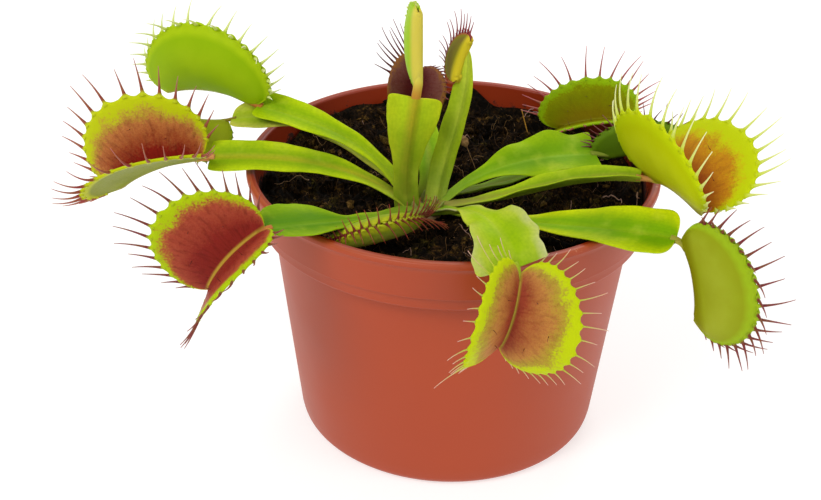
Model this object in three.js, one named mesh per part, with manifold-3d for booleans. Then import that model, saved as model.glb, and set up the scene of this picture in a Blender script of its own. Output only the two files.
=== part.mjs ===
// Potted Venus flytrap (Dionaea muscipula) in a 9 cm plastic nursery pot.
//
// Millimetres, +Z up. The origin is the centre of the flat base that the pot stands on, and the front
// of the plant faces -Y. Bearings are degrees round +Z from +X, climbs are degrees above the horizon.

import * as THREE from 'three';
import { mergeVertices } from 'three/addons/utils/BufferGeometryUtils.js';
import Module from 'manifold-3d';

const wasm = await Module();
wasm.setup();

// ---- driving dimensions -----------------------------------------------------------------------------

const GAP = 0.3;                  // clearance between pieces that touch

const POT = {
  height: 63,
  rimRadius: 45,                  // a 9 cm pot is named after this
  rimHeight: 1.4,                 // depth of the rolled lip
  rimWidth: 1.9,
  collarRadius: 43.4,             // outside of the collar at its lower edge
  collarTop: 44.5,                // outside of the collar right under the lip
  collarDepth: 11.5,
  bodyTop: 39.6,
  baseRadius: 34.2,
  baseFillet: 3,
  wall: 1.2,
  floorRise: 2.0,                 // the floor stands clear of the table between boss and ring
  ringWidth: 3.0,
  bossRadius: 9,
  chamfer: 0.4,                   // on the edges of the lip
  sides: 48,
};
const DRAIN = { count: 6, radius: 3.2, bearingRadius: 20, sides: 12 };

const SOIL = {
  level: 55.4,
  backRise: 1.6, riseFrom: -5, riseSpan: 40,      // the peat lies a little higher towards the back
  bump: 0.7,                                      // height of its low waves
  sides: 40,
  rings: 7,
};

// The short upright stock that every leaf grows from. It sits left of and in front of the pot's axis.
const STOCK = { x: -6, y: -9, radius: 4.1, shoulder: 55.9, top: 57.1, bottom: 46, sides: 14 };
const SOCKET_REACH = 8;           // how far the tool that cuts the stock's socket stands above the soil

const BLADE = {
  edge: 0.6, rib: 1.3,            // thickness of the blade and of its midrib
  rows: 11, crowd: 1.3,           // rows lie closer together towards the rounded end
  pull: 0.35,                     // how stiffly the stalk keeps the directions at its ends
  ripples: 3, lag: 1.3,           // waves along a wavy edge, out of step on the two sides
};
const LOBE = {
  thick: 0.7, rib: 1.5, rows: 9, columns: 3, neckHalf: 0.85, neckLength: 1.4,
  first: 0.09, last: 0.93,        // where along the margin the outermost rows of points lie
  corner: 0.85,                   // below 1 the outline is squarer than an arc
};
const TOOTH = { radius: 0.44, root: 0.8, sides: 3, lean: 0.16, first: 0.16, last: 0.88 };

// ---- the leaves -------------------------------------------------------------------------------------
//
// foot   [bearing, distance from the stock's axis, height] of the root of the petiole
// tip    end of the petiole's blade
// leaves, arrives   [bearing, climb] of the petiole at its foot and at its tip
// half   half widths at the foot, at the widest place and at the tip
// swell  where, along the petiole, the blade starts to widen and where it is widest
// fold   degrees that each half of the blade is folded up; tilt turns the blade about its length
// trap   aim [bearing, climb] of the midrib, opens [bearing, climb] that the mouth looks to,
//        midrib length, lobe depth, reach (half the span of the margin), spread of each lobe from
//        the middle plane, curl of each lobe from midrib to margin (closing when negative),
//        arch of the midrib, skew of the margin along it, length of the neck before it, teeth on
//        each margin and the length of the longest tooth
// Some leaves also say where the blade faces, how square its end is, how wavy its edges are (wave,
// lag) and how stiff its stalk is (pull).

const LEAVES = [
  {
    name: 'left_high', foot: [160, 4.7, 57.2], tip: [-42.6, 5.4, 73.0],
    leaves: [160, 64], arrives: [158, 5], half: [0.9, 3.9, 2.0], swell: [0.3, 0.9], fold: 14, tilt: -22,
    square: 4, pull: 0.36,
    trap: { aim: [156, -3], opens: [-130, 84], midrib: 21.6, depth: 16.6, reach: 15.8, spread: 41,
      curl: -80, arch: 1.9, neck: 1.4, teeth: 11, tooth: 7, colour: '#93bd08' },
  },
  {
    name: 'left', foot: [187, 4.7, 57.2], tip: [-52.3, -4.4, 65.0],
    leaves: [175, 40], arrives: [174, -6], half: [0.9, 4.0, 2.4], swell: [0.05, 0.9], fold: 10, tilt: -28,
    square: 5,
    trap: { aim: [170, -26], opens: [-135, 50], midrib: 21, depth: 17, reach: 15, spread: 25,
      curl: 14, arch: 1.6, neck: 2, teeth: 11, tooth: 8, colour: '#a4512c' },
  },
  {
    name: 'left_low', foot: [213, 4.7, 57.2], tip: [-36.8, -38.4, 66.6],
    leaves: [222, 16], arrives: [209, 7], half: [0.9, 5.4, 2.0], swell: [0.1, 0.7], fold: 16, tilt: -9,
    square: 4,
    trap: { aim: [183, -50], opens: [-127, 28], midrib: 17.4, depth: 16, reach: 11.6, spread: 42,
      curl: -3, arch: 2.2, neck: 0.3, teeth: 11, tooth: 8.5, colour: '#8c2e22' },
  },
  {
    name: 'left_back', foot: [135, 4.7, 57.2], tip: [-48.6, 6.4, 66.6],
    leaves: [150, 32], arrives: [168, -18], half: [0.9, 4.4, 1.0], swell: [0.6, 0.88], fold: 12, tilt: -20,
    trap: { aim: [196, -30], opens: [215, 55], midrib: 11, depth: 6.5, reach: 7.4, spread: 36,
      curl: -68, arch: 0.6, teeth: 6, tooth: 3.5, colour: '#7f8a12' },
  },
  {
    name: 'on_soil', foot: [240, 4.7, 57.2], tip: [-22.8, -26.2, 57.7],
    leaves: [224, 0], arrives: [246, 2], half: [0.9, 1.8, 0.9], swell: [0.1, 0.7], fold: 10, tilt: 0,
    trap: { aim: [30, 0], opens: [-60, 30], midrib: 16.6, depth: 9.6, reach: 11.2, spread: 54,
      curl: -96, arch: 0.6, neck: 2, teeth: 9, tooth: 4, colour: '#8aa52a' },
  },
  {
    name: 'front', foot: [297, 4.7, 57.2], tip: [11.0, -47.6, 64.3],
    leaves: [301, 28], arrives: [296, -46], half: [1.0, 7.9, 1.6], swell: [0.12, 0.72], fold: 10, tilt: 8,
    faces: -82, wave: 0.8, square: 3.5,
    trap: { aim: [191, -78], opens: [-78, 0], midrib: 15.5, depth: 13.7, reach: 12, spread: 34,
      curl: 33, arch: 1.9, teeth: 11, tooth: 5, colour: '#b4552c' },
  },
  {
    name: 'right_low', foot: [326, 4.7, 57.2], tip: [42.6, -37.4, 65.2],
    leaves: [318, 7], arrives: [338, 0], half: [0.9, 6.8, 1.4], swell: [0.1, 0.86], fold: 12, tilt: 14,
    square: 3.5,
    trap: { aim: [348, -76], opens: [-41, 12], midrib: 17.8, depth: 14.6, reach: 13.8, spread: 40,
      curl: -78, arch: 0.9, neck: 1.2, teeth: 11, tooth: 7.5, colour: '#86a01a' },
  },
  {
    name: 'right_high', foot: [353, 4.7, 57.2], tip: [38.4, -16.0, 67.6],
    leaves: [352, 8], arrives: [351, -2], half: [0.9, 3.0, 1.4], swell: [0.1, 0.6], fold: 30, tilt: 0,
    trap: { aim: [294, 2], opens: [38, 79], midrib: 17.6, depth: 17.4, reach: 15.8, spread: 30,
      curl: 13, arch: 0.7, neck: 2.4, skew: -1.5, teeth: 11, tooth: 9, colour: '#b98a1e' },
  },
  {
    name: 'right', foot: [21, 4.7, 57.2], tip: [31.0, 2.0, 64.3],
    leaves: [20, 38], arrives: [17, -7], half: [0.9, 6.0, 2.4], swell: [0.15, 0.7], fold: 10, tilt: 19,
    wave: 1.5, lag: 0.2, square: 8,
    trap: { aim: [5, 0], opens: [100, 82], midrib: 15, depth: 9.2, reach: 11.5, spread: 38,
      curl: -66, arch: 0.8, neck: 3, teeth: 9, tooth: 5.5, colour: '#5f8f14' },
  },
  {
    name: 'right_back', foot: [50, 4.7, 57.2], tip: [23.1, 17.8, 60.0],
    leaves: [30, 12], arrives: [56, 24], half: [0.9, 2.4, 0.9], swell: [0.2, 0.85], fold: 16, tilt: 0,
    trap: { aim: [0, 10], opens: [-84, 66], midrib: 13, depth: 9.8, reach: 11.8, spread: 38,
      curl: 10, arch: 0.8, neck: 3.6, teeth: 10, tooth: 6, colour: '#7a7400' },
  },
  {
    name: 'upright', foot: [214, 1.8, 57.5], tip: [-8.4, -10.6, 82.4],
    leaves: [190, 84], arrives: [0, 77], half: [1.5, 5.7, 1.8], swell: [0.25, 0.92], fold: 14, tilt: 0,
    faces: -90, square: 6,
    trap: { aim: [160, 89], opens: [106, 0], midrib: 14.6, depth: 8.6, reach: 9.7, spread: 43,
      curl: -86, arch: 0.4, neck: 3.2, teeth: 7, tooth: 3, colour: '#a9bf1e' },
  },
  {
    name: 'tall', foot: [60, 2.4, 57.7], tip: [0.6, -2.6, 82.6],
    leaves: [62, 76], arrives: [110, 76], half: [1.9, 2.6, 2.0], swell: [0.0, 0.5], fold: 12, tilt: 0,
    faces: -80, square: 5,
    trap: { aim: [10, 72], opens: [195, -35], midrib: 9.8, depth: 4.4, reach: 6, spread: 30,
      curl: -50, arch: 0.6, neck: 0.8, teeth: 8, tooth: 5.5, colour: '#8c9420' },
  },
  {
    name: 'dark', foot: [98, 3.2, 57.2], tip: [-8.2, 14.0, 68.2],
    leaves: [70, 54], arrives: [128, 50], half: [1.0, 3.2, 1.4], swell: [0.1, 0.55], fold: 14, tilt: 0,
    faces: 90,
    trap: { aim: [100, 72], opens: [-84, 18], midrib: 8.8, depth: 8.8, reach: 7, spread: 44,
      curl: 14, arch: 0.6, neck: 4.0, teeth: 9, tooth: 6.5, colour: '#6b2a24' },
  },
];

// ---- small helpers ----------------------------------------------------------------------------------

const rad = THREE.MathUtils.degToRad;
const smooth = (t) => THREE.MathUtils.smoothstep(t, 0, 1);
const lerp = THREE.MathUtils.lerp;

function pointing([bearing, climb]) {
  const level = Math.cos(rad(climb));
  return new THREE.Vector3(
    level * Math.cos(rad(bearing)),
    level * Math.sin(rad(bearing)),
    Math.sin(rad(climb)),
  );
}

function around(radius, bearing, z) {
  return new THREE.Vector3(radius * Math.cos(rad(bearing)), radius * Math.sin(rad(bearing)), z);
}

function toMerged(geometry) {
  const bare = geometry.clone();
  bare.deleteAttribute('normal');
  bare.deleteAttribute('uv');
  return mergeVertices(bare, 1e-5);
}

function toSolid(geometry) {
  const merged = toMerged(geometry);
  return new wasm.Manifold(new wasm.Mesh({
    numProp: 3,
    vertProperties: Float32Array.from(merged.attributes.position.array),
    triVerts: Uint32Array.from(merged.index.array),
  }));
}

function toGeometry(solid) {
  const mesh = solid.getMesh();
  const geometry = new THREE.BufferGeometry();
  geometry.setAttribute('position', new THREE.BufferAttribute(Float32Array.from(mesh.vertProperties), 3));
  geometry.setIndex(Array.from(mesh.triVerts));
  geometry.computeVertexNormals();
  return geometry;
}

function named(name, geometry, colour, roughness) {
  const material = new THREE.MeshStandardMaterial({ color: colour, roughness, metalness: 0 });
  const mesh = new THREE.Mesh(geometry, material);
  mesh.name = name;
  return mesh;
}

// A closed skin round a grid of [upper, lower] points: both faces split into triangles alike.
function slab(grid) {
  const rows = grid.length;
  const columns = grid[0].length;
  const positions = [];
  for (const row of grid) {
    for (const [upper] of row) positions.push(...upper.toArray());
  }
  for (const row of grid) {
    for (const [, lower] of row) positions.push(...lower.toArray());
  }
  const below = rows * columns;
  const at = (i, j) => i * columns + j;
  const index = [];
  for (let i = 0; i + 1 < rows; i += 1) {
    for (let j = 0; j + 1 < columns; j += 1) {
      const [a, b, c, d] = [at(i, j), at(i, j + 1), at(i + 1, j + 1), at(i + 1, j)];
      index.push(a, b, c, a, c, d);
      index.push(below + a, below + c, below + b, below + a, below + d, below + c);
    }
  }
  const edge = [];
  for (let j = 0; j + 1 < columns; j += 1) edge.push(at(0, j));
  for (let i = 0; i + 1 < rows; i += 1) edge.push(at(i, columns - 1));
  for (let j = columns - 1; j > 0; j -= 1) edge.push(at(rows - 1, j));
  for (let i = rows - 1; i > 0; i -= 1) edge.push(at(i, 0));
  edge.forEach((a, k) => {
    const b = edge[(k + 1) % edge.length];
    index.push(a, below + a, below + b, a, below + b, b);
  });
  const geometry = new THREE.BufferGeometry();
  geometry.setAttribute('position', new THREE.Float32BufferAttribute(positions, 3));
  geometry.setIndex(index);
  if (volumeOf(geometry) < 0) geometry.setIndex(index.toReversed());
  return geometry;
}

function volumeOf(geometry) {
  const at = (k) => new THREE.Vector3().fromBufferAttribute(geometry.attributes.position, k);
  const index = geometry.index.array;
  let sum = 0;
  for (let k = 0; k < index.length; k += 3) {
    sum += at(index[k]).dot(at(index[k + 1]).cross(at(index[k + 2]))) / 6;
  }
  return sum;
}

// ---- pot --------------------------------------------------------------------------------------------

function potProfile() {
  const { height, rimRadius, rimHeight, rimWidth, collarRadius, collarTop, collarDepth, chamfer } = POT;
  const { bodyTop, baseRadius, baseFillet, wall, floorRise, ringWidth, bossRadius } = POT;
  const step = height - collarDepth;
  const outline = new THREE.Path();
  outline.moveTo(0, 0);
  outline.lineTo(bossRadius, 0);
  outline.lineTo(bossRadius + 1, floorRise);
  outline.lineTo(baseRadius - ringWidth - 1, floorRise);
  outline.lineTo(baseRadius - ringWidth, 0);
  outline.lineTo(baseRadius - baseFillet, 0);
  outline.quadraticCurveTo(baseRadius, 0, baseRadius + 0.3, baseFillet);
  outline.lineTo(bodyTop, step - 0.9);
  outline.lineTo(bodyTop + 0.6, step);
  outline.lineTo(collarRadius - 1, step + 0.4);
  outline.lineTo(collarRadius - 0.8, step + 2.6);
  outline.lineTo(collarRadius, step + 3.0);
  outline.lineTo(collarTop, height - rimHeight);
  outline.lineTo(rimRadius, height - rimHeight + chamfer / 2);
  outline.lineTo(rimRadius, height - chamfer);
  outline.lineTo(rimRadius - chamfer, height);
  outline.lineTo(rimRadius - rimWidth + chamfer, height);
  outline.lineTo(rimRadius - rimWidth, height - chamfer);
  outline.lineTo(collarRadius - wall - chamfer, step + 1.4);
  outline.lineTo(bodyTop - wall, step - 1.0);
  outline.lineTo(baseRadius - wall, floorRise + wall + 2);
  outline.lineTo(baseRadius - wall - 2, floorRise + wall);
  outline.lineTo(0, floorRise + wall);
  return outline.getPoints(3);
}

function makePot() {
  let solid = toSolid(new THREE.LatheGeometry(potProfile(), POT.sides));
  if (solid.volume() < 0) throw new Error('the pot profile runs the wrong way round');
  for (let k = 0; k < DRAIN.count; k += 1) {
    const hole = new THREE.CylinderGeometry(DRAIN.radius, DRAIN.radius, 8, DRAIN.sides);
    const centre = around(DRAIN.bearingRadius, (360 * k) / DRAIN.count, 0);
    hole.translate(centre.x, POT.floorRise, -centre.y);
    solid = solid.subtract(toSolid(hole));
  }
  const geometry = toGeometry(solid);
  geometry.rotateX(Math.PI / 2);
  return named('pot', geometry, '#b35637', 0.5);
}

// ---- soil and stock ---------------------------------------------------------------------------------

// Two sets of low waves, 20 and 9 mm long, that cross each other.
function soilHeight(x, y) {
  const long = Math.sin(x / 3.2 + 1.1) * Math.cos(y / 3.7 - 0.4);
  const short = Math.sin(x / 1.9 - y / 2.1);
  const rise = SOIL.backRise * smooth((y - SOIL.riseFrom) / SOIL.riseSpan);
  return SOIL.level + rise + SOIL.bump * (0.62 * long + 0.38 * short);
}

function soilGeometry() {
  const { wall, floorRise, baseRadius, bodyTop, collarRadius, rimRadius, rimWidth } = POT;
  const step = POT.height - POT.collarDepth;
  const bottom = floorRise + wall + GAP;
  const collarFoot = collarRadius - wall - POT.chamfer;
  const collarSlope = (rimRadius - rimWidth - collarFoot) / (POT.height - POT.chamfer - step - 1.4);
  const topRadius = collarFoot + collarSlope * (SOIL.level - step - 1.4) - GAP;
  const profile = [
    new THREE.Vector2(0, bottom),
    new THREE.Vector2(baseRadius - wall - 2.2, bottom),
    new THREE.Vector2(baseRadius - wall - GAP, bottom + 2),
    new THREE.Vector2(bodyTop - wall - GAP, step - 0.9),
    new THREE.Vector2(collarFoot - GAP, step + 1.5),
    new THREE.Vector2(topRadius, SOIL.level),
  ];
  for (let k = SOIL.rings - 1; k >= 0; k -= 1) {
    profile.push(new THREE.Vector2((topRadius * 0.97 * k) / SOIL.rings + (k ? 1.5 : 0), SOIL.level));
  }
  const geometry = new THREE.LatheGeometry(profile, SOIL.sides);
  geometry.rotateX(Math.PI / 2);
  const position = geometry.attributes.position;
  for (let k = 0; k < position.count; k += 1) {
    if (position.getZ(k) > SOIL.level - 0.01) {
      position.setZ(k, soilHeight(position.getX(k), position.getY(k)));
    }
  }
  return geometry;
}

function onEnd(radius, length, sides, base) {
  const geometry = new THREE.CylinderGeometry(radius, radius, length, sides);
  geometry.rotateX(Math.PI / 2);
  geometry.translate(base.x, base.y, base.z + length / 2);
  return geometry;
}

function makeSoil() {
  const foot = new THREE.Vector3(STOCK.x, STOCK.y, STOCK.bottom - GAP);
  const length = SOIL.level - foot.z + SOCKET_REACH;
  const socket = onEnd(STOCK.radius + GAP, length, STOCK.sides, foot);
  const solid = toSolid(soilGeometry()).subtract(toSolid(socket));
  return named('soil', toGeometry(solid), '#2b2019', 0.95);
}

function makeStock() {
  const { radius, shoulder, top, bottom, sides } = STOCK;
  const profile = [
    new THREE.Vector2(0, bottom),
    new THREE.Vector2(radius * 0.7, bottom),
    new THREE.Vector2(radius, bottom + 3),
    new THREE.Vector2(radius, shoulder - 0.6),
    new THREE.Vector2(radius * 0.82, shoulder + 0.4),
    new THREE.Vector2(radius * 0.45, top - 0.3),
    new THREE.Vector2(0, top),
  ];
  const geometry = new THREE.LatheGeometry(profile, sides);
  geometry.rotateX(Math.PI / 2);
  geometry.translate(STOCK.x, STOCK.y, 0);
  return named('rootstock', toGeometry(toSolid(geometry)), '#9aa63c', 0.7);
}

// ---- petioles ---------------------------------------------------------------------------------------

function petioleCurve(leaf) {
  const [bearing, distance, height] = leaf.foot;
  const foot = around(distance, bearing, height).add(new THREE.Vector3(STOCK.x, STOCK.y, 0));
  const tip = new THREE.Vector3(...leaf.tip);
  const pull = (leaf.pull ?? BLADE.pull) * foot.distanceTo(tip);
  return new THREE.CubicBezierCurve3(
    foot,
    foot.clone().addScaledVector(pointing(leaf.leaves), pull),
    tip.clone().addScaledVector(pointing(leaf.arrives), -pull),
    tip,
  );
}

// Half width of the blade at u: a slim stalk that swells to a broad end with rounded shoulders.
function halfWidth(leaf, u) {
  const [atFoot, widest, atTip] = leaf.half;
  const [from, to] = leaf.swell;
  if (u < to) return lerp(atFoot, widest, smooth((u - from) / (to - from)));
  const power = leaf.square ?? 2.4;
  const left = Math.max(0, 1 - ((u - to) / (1 - to)) ** power);
  return lerp(atTip, widest, left ** (1 / power));
}

function headingOf(leaf) {
  if (leaf.faces !== undefined) return rad(leaf.faces);
  return Math.atan2(leaf.tip[1] - STOCK.y, leaf.tip[0] - STOCK.x);
}

function makePetiole(leaf) {
  const curve = petioleCurve(leaf);
  const heading = headingOf(leaf);
  const across = new THREE.Vector3(-Math.sin(heading), Math.cos(heading), 0);
  const grid = [];
  for (let i = 0; i <= BLADE.rows; i += 1) {
    const u = 1 - (1 - i / BLADE.rows) ** BLADE.crowd;
    const centre = curve.getPoint(u);
    const along = curve.getTangent(u);
    const side = across.clone().addScaledVector(along, -across.dot(along)).normalize();
    side.applyAxisAngle(along, rad(leaf.tilt * smooth(u * 2)));
    const up = new THREE.Vector3().crossVectors(along, side);
    const half = halfWidth(leaf, u);
    const fold = rad(leaf.fold) * smooth(u * 2);
    const wave = (leaf.wave ?? 0) * smooth((u - 0.3) / 0.4);
    const row = [];
    for (const j of [-1, -0.5, 0, 0.5, 1]) {
      const phase = 2 * Math.PI * BLADE.ripples * u + (j > 0 ? leaf.lag ?? BLADE.lag : 0);
      const ripple = wave * j * j * Math.sin(phase);
      const middle = centre.clone()
        .addScaledVector(side, j * half * Math.cos(fold))
        .addScaledVector(up, Math.abs(j) * half * Math.sin(fold) + ripple);
      const below = lerp(BLADE.rib - BLADE.edge / 2, BLADE.edge / 2, Math.min(1, 2 * Math.abs(j)));
      row.push([
        middle.clone().addScaledVector(up, BLADE.edge / 2),
        middle.clone().addScaledVector(up, -below),
      ]);
    }
    grid.push(row);
  }
  return named(`petiole_${leaf.name}`, toGeometry(toSolid(slab(grid))), '#8db510', 0.45);
}

// ---- traps ------------------------------------------------------------------------------------------

const neckOf = (leaf) => leaf.trap.neck ?? LOBE.neckLength;

// The trap's own axes: x along the midrib, y across to one lobe, z out of the mouth.
function trapFrame(leaf) {
  const x = pointing(leaf.trap.aim);
  const opens = pointing(leaf.trap.opens);
  const z = opens.addScaledVector(x, -opens.dot(x)).normalize();
  const y = new THREE.Vector3().crossVectors(z, x);
  const start = new THREE.Vector3(...leaf.tip).addScaledVector(pointing(leaf.arrives), GAP + neckOf(leaf));
  return new THREE.Matrix4().makeBasis(x, y, z).setPosition(start);
}

// A point of the lobe's middle surface. u runs from the neck to the apex, v from midrib to margin.
// The margin is a kidney-shaped arc that overhangs the midrib at both ends.
function lobePoint(trap, side, u, v) {
  const chord = trap.midrib / 2;
  const lowest = Math.acos(Math.min(0.999, chord / trap.reach));
  const sag = Math.sin(lowest);
  const rise = trap.depth / (1 + sag);
  const turn = -lowest + u * (Math.PI + 2 * lowest);
  const blunt = (t) => Math.sign(t) * Math.abs(t) ** LOBE.corner;
  const seat = chord / (trap.reach * blunt(Math.cos(lowest)));
  const fit = lerp(seat, 1, Math.abs(Math.sin(turn) + sag) / (1 + sag));
  const marginAlong = chord - trap.reach * blunt(Math.cos(turn)) * fit;
  const ribAlong = trap.midrib * (0.25 - 0.25 * Math.cos(Math.PI * u) + 0.5 * u);
  const depth = Math.max(0, rise * (sag + Math.sin(turn)));
  const along = lerp(ribAlong, marginAlong, v) + (trap.skew ?? 0) * v;
  const spread = rad(trap.spread);
  const curl = rad(trap.curl);
  const out = (depth * (Math.cos(spread) - Math.cos(spread + curl * v))) / curl;
  const up = (depth * (Math.sin(spread + curl * v) - Math.sin(spread))) / curl;
  const t = THREE.MathUtils.clamp(along / trap.midrib, -0.4, 1.4);
  return new THREE.Vector3(along, side * out, up + trap.arch * 4 * t * (1 - t));
}

// Outer and inner skin of one point of the trap; the inner skins of the two lobes never cross.
function lobePair(trap, side, u, v) {
  const middle = lobePoint(trap, side, u, v);
  if (v === 0) {
    return [
      middle.clone().add(new THREE.Vector3(0, 0, LOBE.thick / 2)),
      middle.clone().add(new THREE.Vector3(0, 0, LOBE.thick / 2 - LOBE.rib)),
    ];
  }
  const alongU = lobePoint(trap, side, Math.min(1, u + 0.01), v).sub(lobePoint(trap, side, u - 0.01, v));
  const alongV = lobePoint(trap, side, u, v + 0.02).sub(lobePoint(trap, side, u, v - 0.02));
  const outward = new THREE.Vector3().crossVectors(alongU, alongV).normalize();
  if (outward.y * side < 0 || (outward.y === 0 && outward.z > 0)) outward.negate();
  const inner = middle.clone().addScaledVector(outward, -LOBE.thick / 2);
  const outer = middle.clone().addScaledVector(outward, LOBE.thick / 2);
  const clear = 0.06 + 0.1 * v;
  inner.y = side * Math.max(side * inner.y, clear);
  outer.y = side * Math.max(side * outer.y, clear + LOBE.thick);
  return [inner, outer];
}

function trapSkin(leaf) {
  const { trap } = leaf;
  const steps = [];
  for (let k = -LOBE.columns; k <= LOBE.columns; k += 1) steps.push(k / LOBE.columns);
  const grid = [];
  for (const x of [-neckOf(leaf), -0.2]) {
    grid.push(steps.map((v) => {
      const y = v * LOBE.neckHalf;
      return [new THREE.Vector3(x, y, LOBE.thick / 2), new THREE.Vector3(x, y, -LOBE.thick / 2)];
    }));
  }
  for (let i = 0; i <= LOBE.rows; i += 1) {
    const u = lerp(LOBE.first, LOBE.last, i / LOBE.rows);
    grid.push(steps.map((v) => lobePair(trap, Math.sign(v) || 1, u, Math.abs(v))));
  }
  return slab(grid);
}

// A three-sided tooth that grows out of the margin in the lobe's own plane and leans over the mouth.
function tooth(trap, side, u, length) {
  const margin = lobePoint(trap, side, u, 1);
  const away = margin.clone().sub(lobePoint(trap, side, u, 0.85)).normalize();
  const edge = lobePoint(trap, side, u + 0.01, 1).sub(lobePoint(trap, side, u - 0.01, 1)).normalize();
  const face = new THREE.Vector3().crossVectors(edge, away).normalize();
  const tip = new THREE.Vector3(0, length, 0);
  tip.z = -side * Math.sign(face.y) * TOOTH.lean * length;
  const cone = new THREE.ConeGeometry(TOOTH.radius, length + TOOTH.root, TOOTH.sides);
  cone.translate(0, (length - TOOTH.root) / 2, -TOOTH.radius / 4);
  const position = cone.attributes.position;
  for (let k = 0; k < position.count; k += 1) {
    const local = new THREE.Vector3().fromBufferAttribute(position, k);
    if (local.y > 0) local.copy(tip);
    const point = margin.clone()
      .addScaledVector(edge, local.x)
      .addScaledVector(away, local.y)
      .addScaledVector(face, local.z);
    position.setXYZ(k, point.x, point.y, point.z);
  }
  if (volumeOf(toMerged(cone)) < 0) cone.setIndex(Array.from(cone.index.array).toReversed());
  return cone;
}

function makeTrap(leaf) {
  const { trap } = leaf;
  let solid = toSolid(trapSkin(leaf));
  for (const side of [-1, 1]) {
    for (let k = 0; k < trap.teeth; k += 1) {
      const shift = side > 0 ? 0.5 : 0;
      const share = (k + 0.25 + shift) / trap.teeth;
      const u = lerp(TOOTH.first, TOOTH.last, share);
      const length = trap.tooth * (0.5 + 0.5 * Math.sin(Math.PI * share));
      solid = solid.add(toSolid(tooth(trap, side, u, length)));
    }
  }
  const geometry = toGeometry(solid);
  geometry.applyMatrix4(trapFrame(leaf));
  return named(`trap_${leaf.name}`, geometry, trap.colour, 0.45);
}

// ---- assembly ---------------------------------------------------------------------------------------

const group = new THREE.Group();
group.add(makePot(), makeSoil(), makeStock());
for (const leaf of LEAVES) group.add(makePetiole(leaf), makeTrap(leaf));

export default group;
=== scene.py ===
# %% [markdown]
# # A potted Venus flytrap
#
# A Venus flytrap is a rosette: flat green leaf stalks, called petioles, grow from one short stock, and
# each ends in a snap trap of two toothed lobes. This one has thirteen leaves and stands in a low
# terracotta-coloured plastic pot of 9 cm, filled with dark peat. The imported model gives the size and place
# of every piece. Here each of its plain solids is replaced by a finer mesh that follows the same curve and
# the same outline formula, with many more points, and gets the finish of the real thing.

# %% Load the frame
import math
import bpy
import numpy as np
from mathutils import Matrix, Vector, noise


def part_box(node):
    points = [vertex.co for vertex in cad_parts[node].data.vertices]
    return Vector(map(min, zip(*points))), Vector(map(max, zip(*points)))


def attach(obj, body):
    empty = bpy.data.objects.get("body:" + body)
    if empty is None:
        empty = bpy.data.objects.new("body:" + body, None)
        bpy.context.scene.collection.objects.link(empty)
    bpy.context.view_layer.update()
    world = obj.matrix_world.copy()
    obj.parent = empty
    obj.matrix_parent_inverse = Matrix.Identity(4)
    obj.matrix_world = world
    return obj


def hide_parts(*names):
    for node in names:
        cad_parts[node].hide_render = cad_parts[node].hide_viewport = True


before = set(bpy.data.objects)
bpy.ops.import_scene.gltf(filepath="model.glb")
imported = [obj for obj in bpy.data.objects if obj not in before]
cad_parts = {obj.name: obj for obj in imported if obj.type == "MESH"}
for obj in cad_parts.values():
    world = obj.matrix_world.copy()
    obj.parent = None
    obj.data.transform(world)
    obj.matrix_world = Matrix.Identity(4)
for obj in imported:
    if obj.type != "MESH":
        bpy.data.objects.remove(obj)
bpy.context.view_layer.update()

MM = 0.001
print("nodes in the frame:", len(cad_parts))

# %% [markdown]
# ## Camera
#
# The plant is seen from a little above, as on a table in front of a seated person: 30 degrees down, from
# about 34 cm away. A lens of 62 mm keeps the pot's rim and foot in natural perspective.

# %% Camera
CAMERA_PLACE = (-9.0, -277.1, 200.3)
CAMERA_DOWN = 30.0
CAMERA_ROLL = 0.88
LENS, SENSOR_WIDTH = 62, 36

camera = bpy.data.objects.new("camera", bpy.data.cameras.new("camera"))
bpy.context.scene.collection.objects.link(camera)
camera.data.lens = LENS
camera.data.sensor_width = SENSOR_WIDTH
camera.matrix_world = (
    Matrix.Translation(Vector(CAMERA_PLACE) * MM)
    @ Matrix.Rotation(math.radians(90 - CAMERA_DOWN), 4, "X")
    @ Matrix.Rotation(math.radians(CAMERA_ROLL), 4, "Z")
)
bpy.context.scene.camera = camera
print("camera stands", round(camera.location.length / MM), "mm from the pot's foot")

# %% [markdown]
# ## Meshes from rings
#
# Everything that grows here is a skin drawn round rings of points: a leaf is a flat ring that runs over
# its upper face and back under its lower face, and a tooth or a root is a round ring that gets smaller.
# numpy works out whole rings at once. A Body gathers the rings of one piece, with values such as the
# distance from the midrib, which the materials read later. All shapes are worked out in mm.

# %% Helpers for meshes
UPWARDS = np.array([0.0, 0.0, 1.0])


def unit(vectors):
    length = np.linalg.norm(vectors, axis=-1, keepdims=True)
    return vectors / np.maximum(length, 1e-9)


def smooth(t):
    t = np.clip(t, 0.0, 1.0)
    return t * t * (3 - 2 * t)


def lerp(low, high, t):
    return low + (high - low) * t


def pointing(bearing, climb):
    bearing, climb = math.radians(bearing), math.radians(climb)
    level = math.cos(climb)
    return np.array([level * math.cos(bearing), level * math.sin(bearing), math.sin(climb)])


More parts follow.
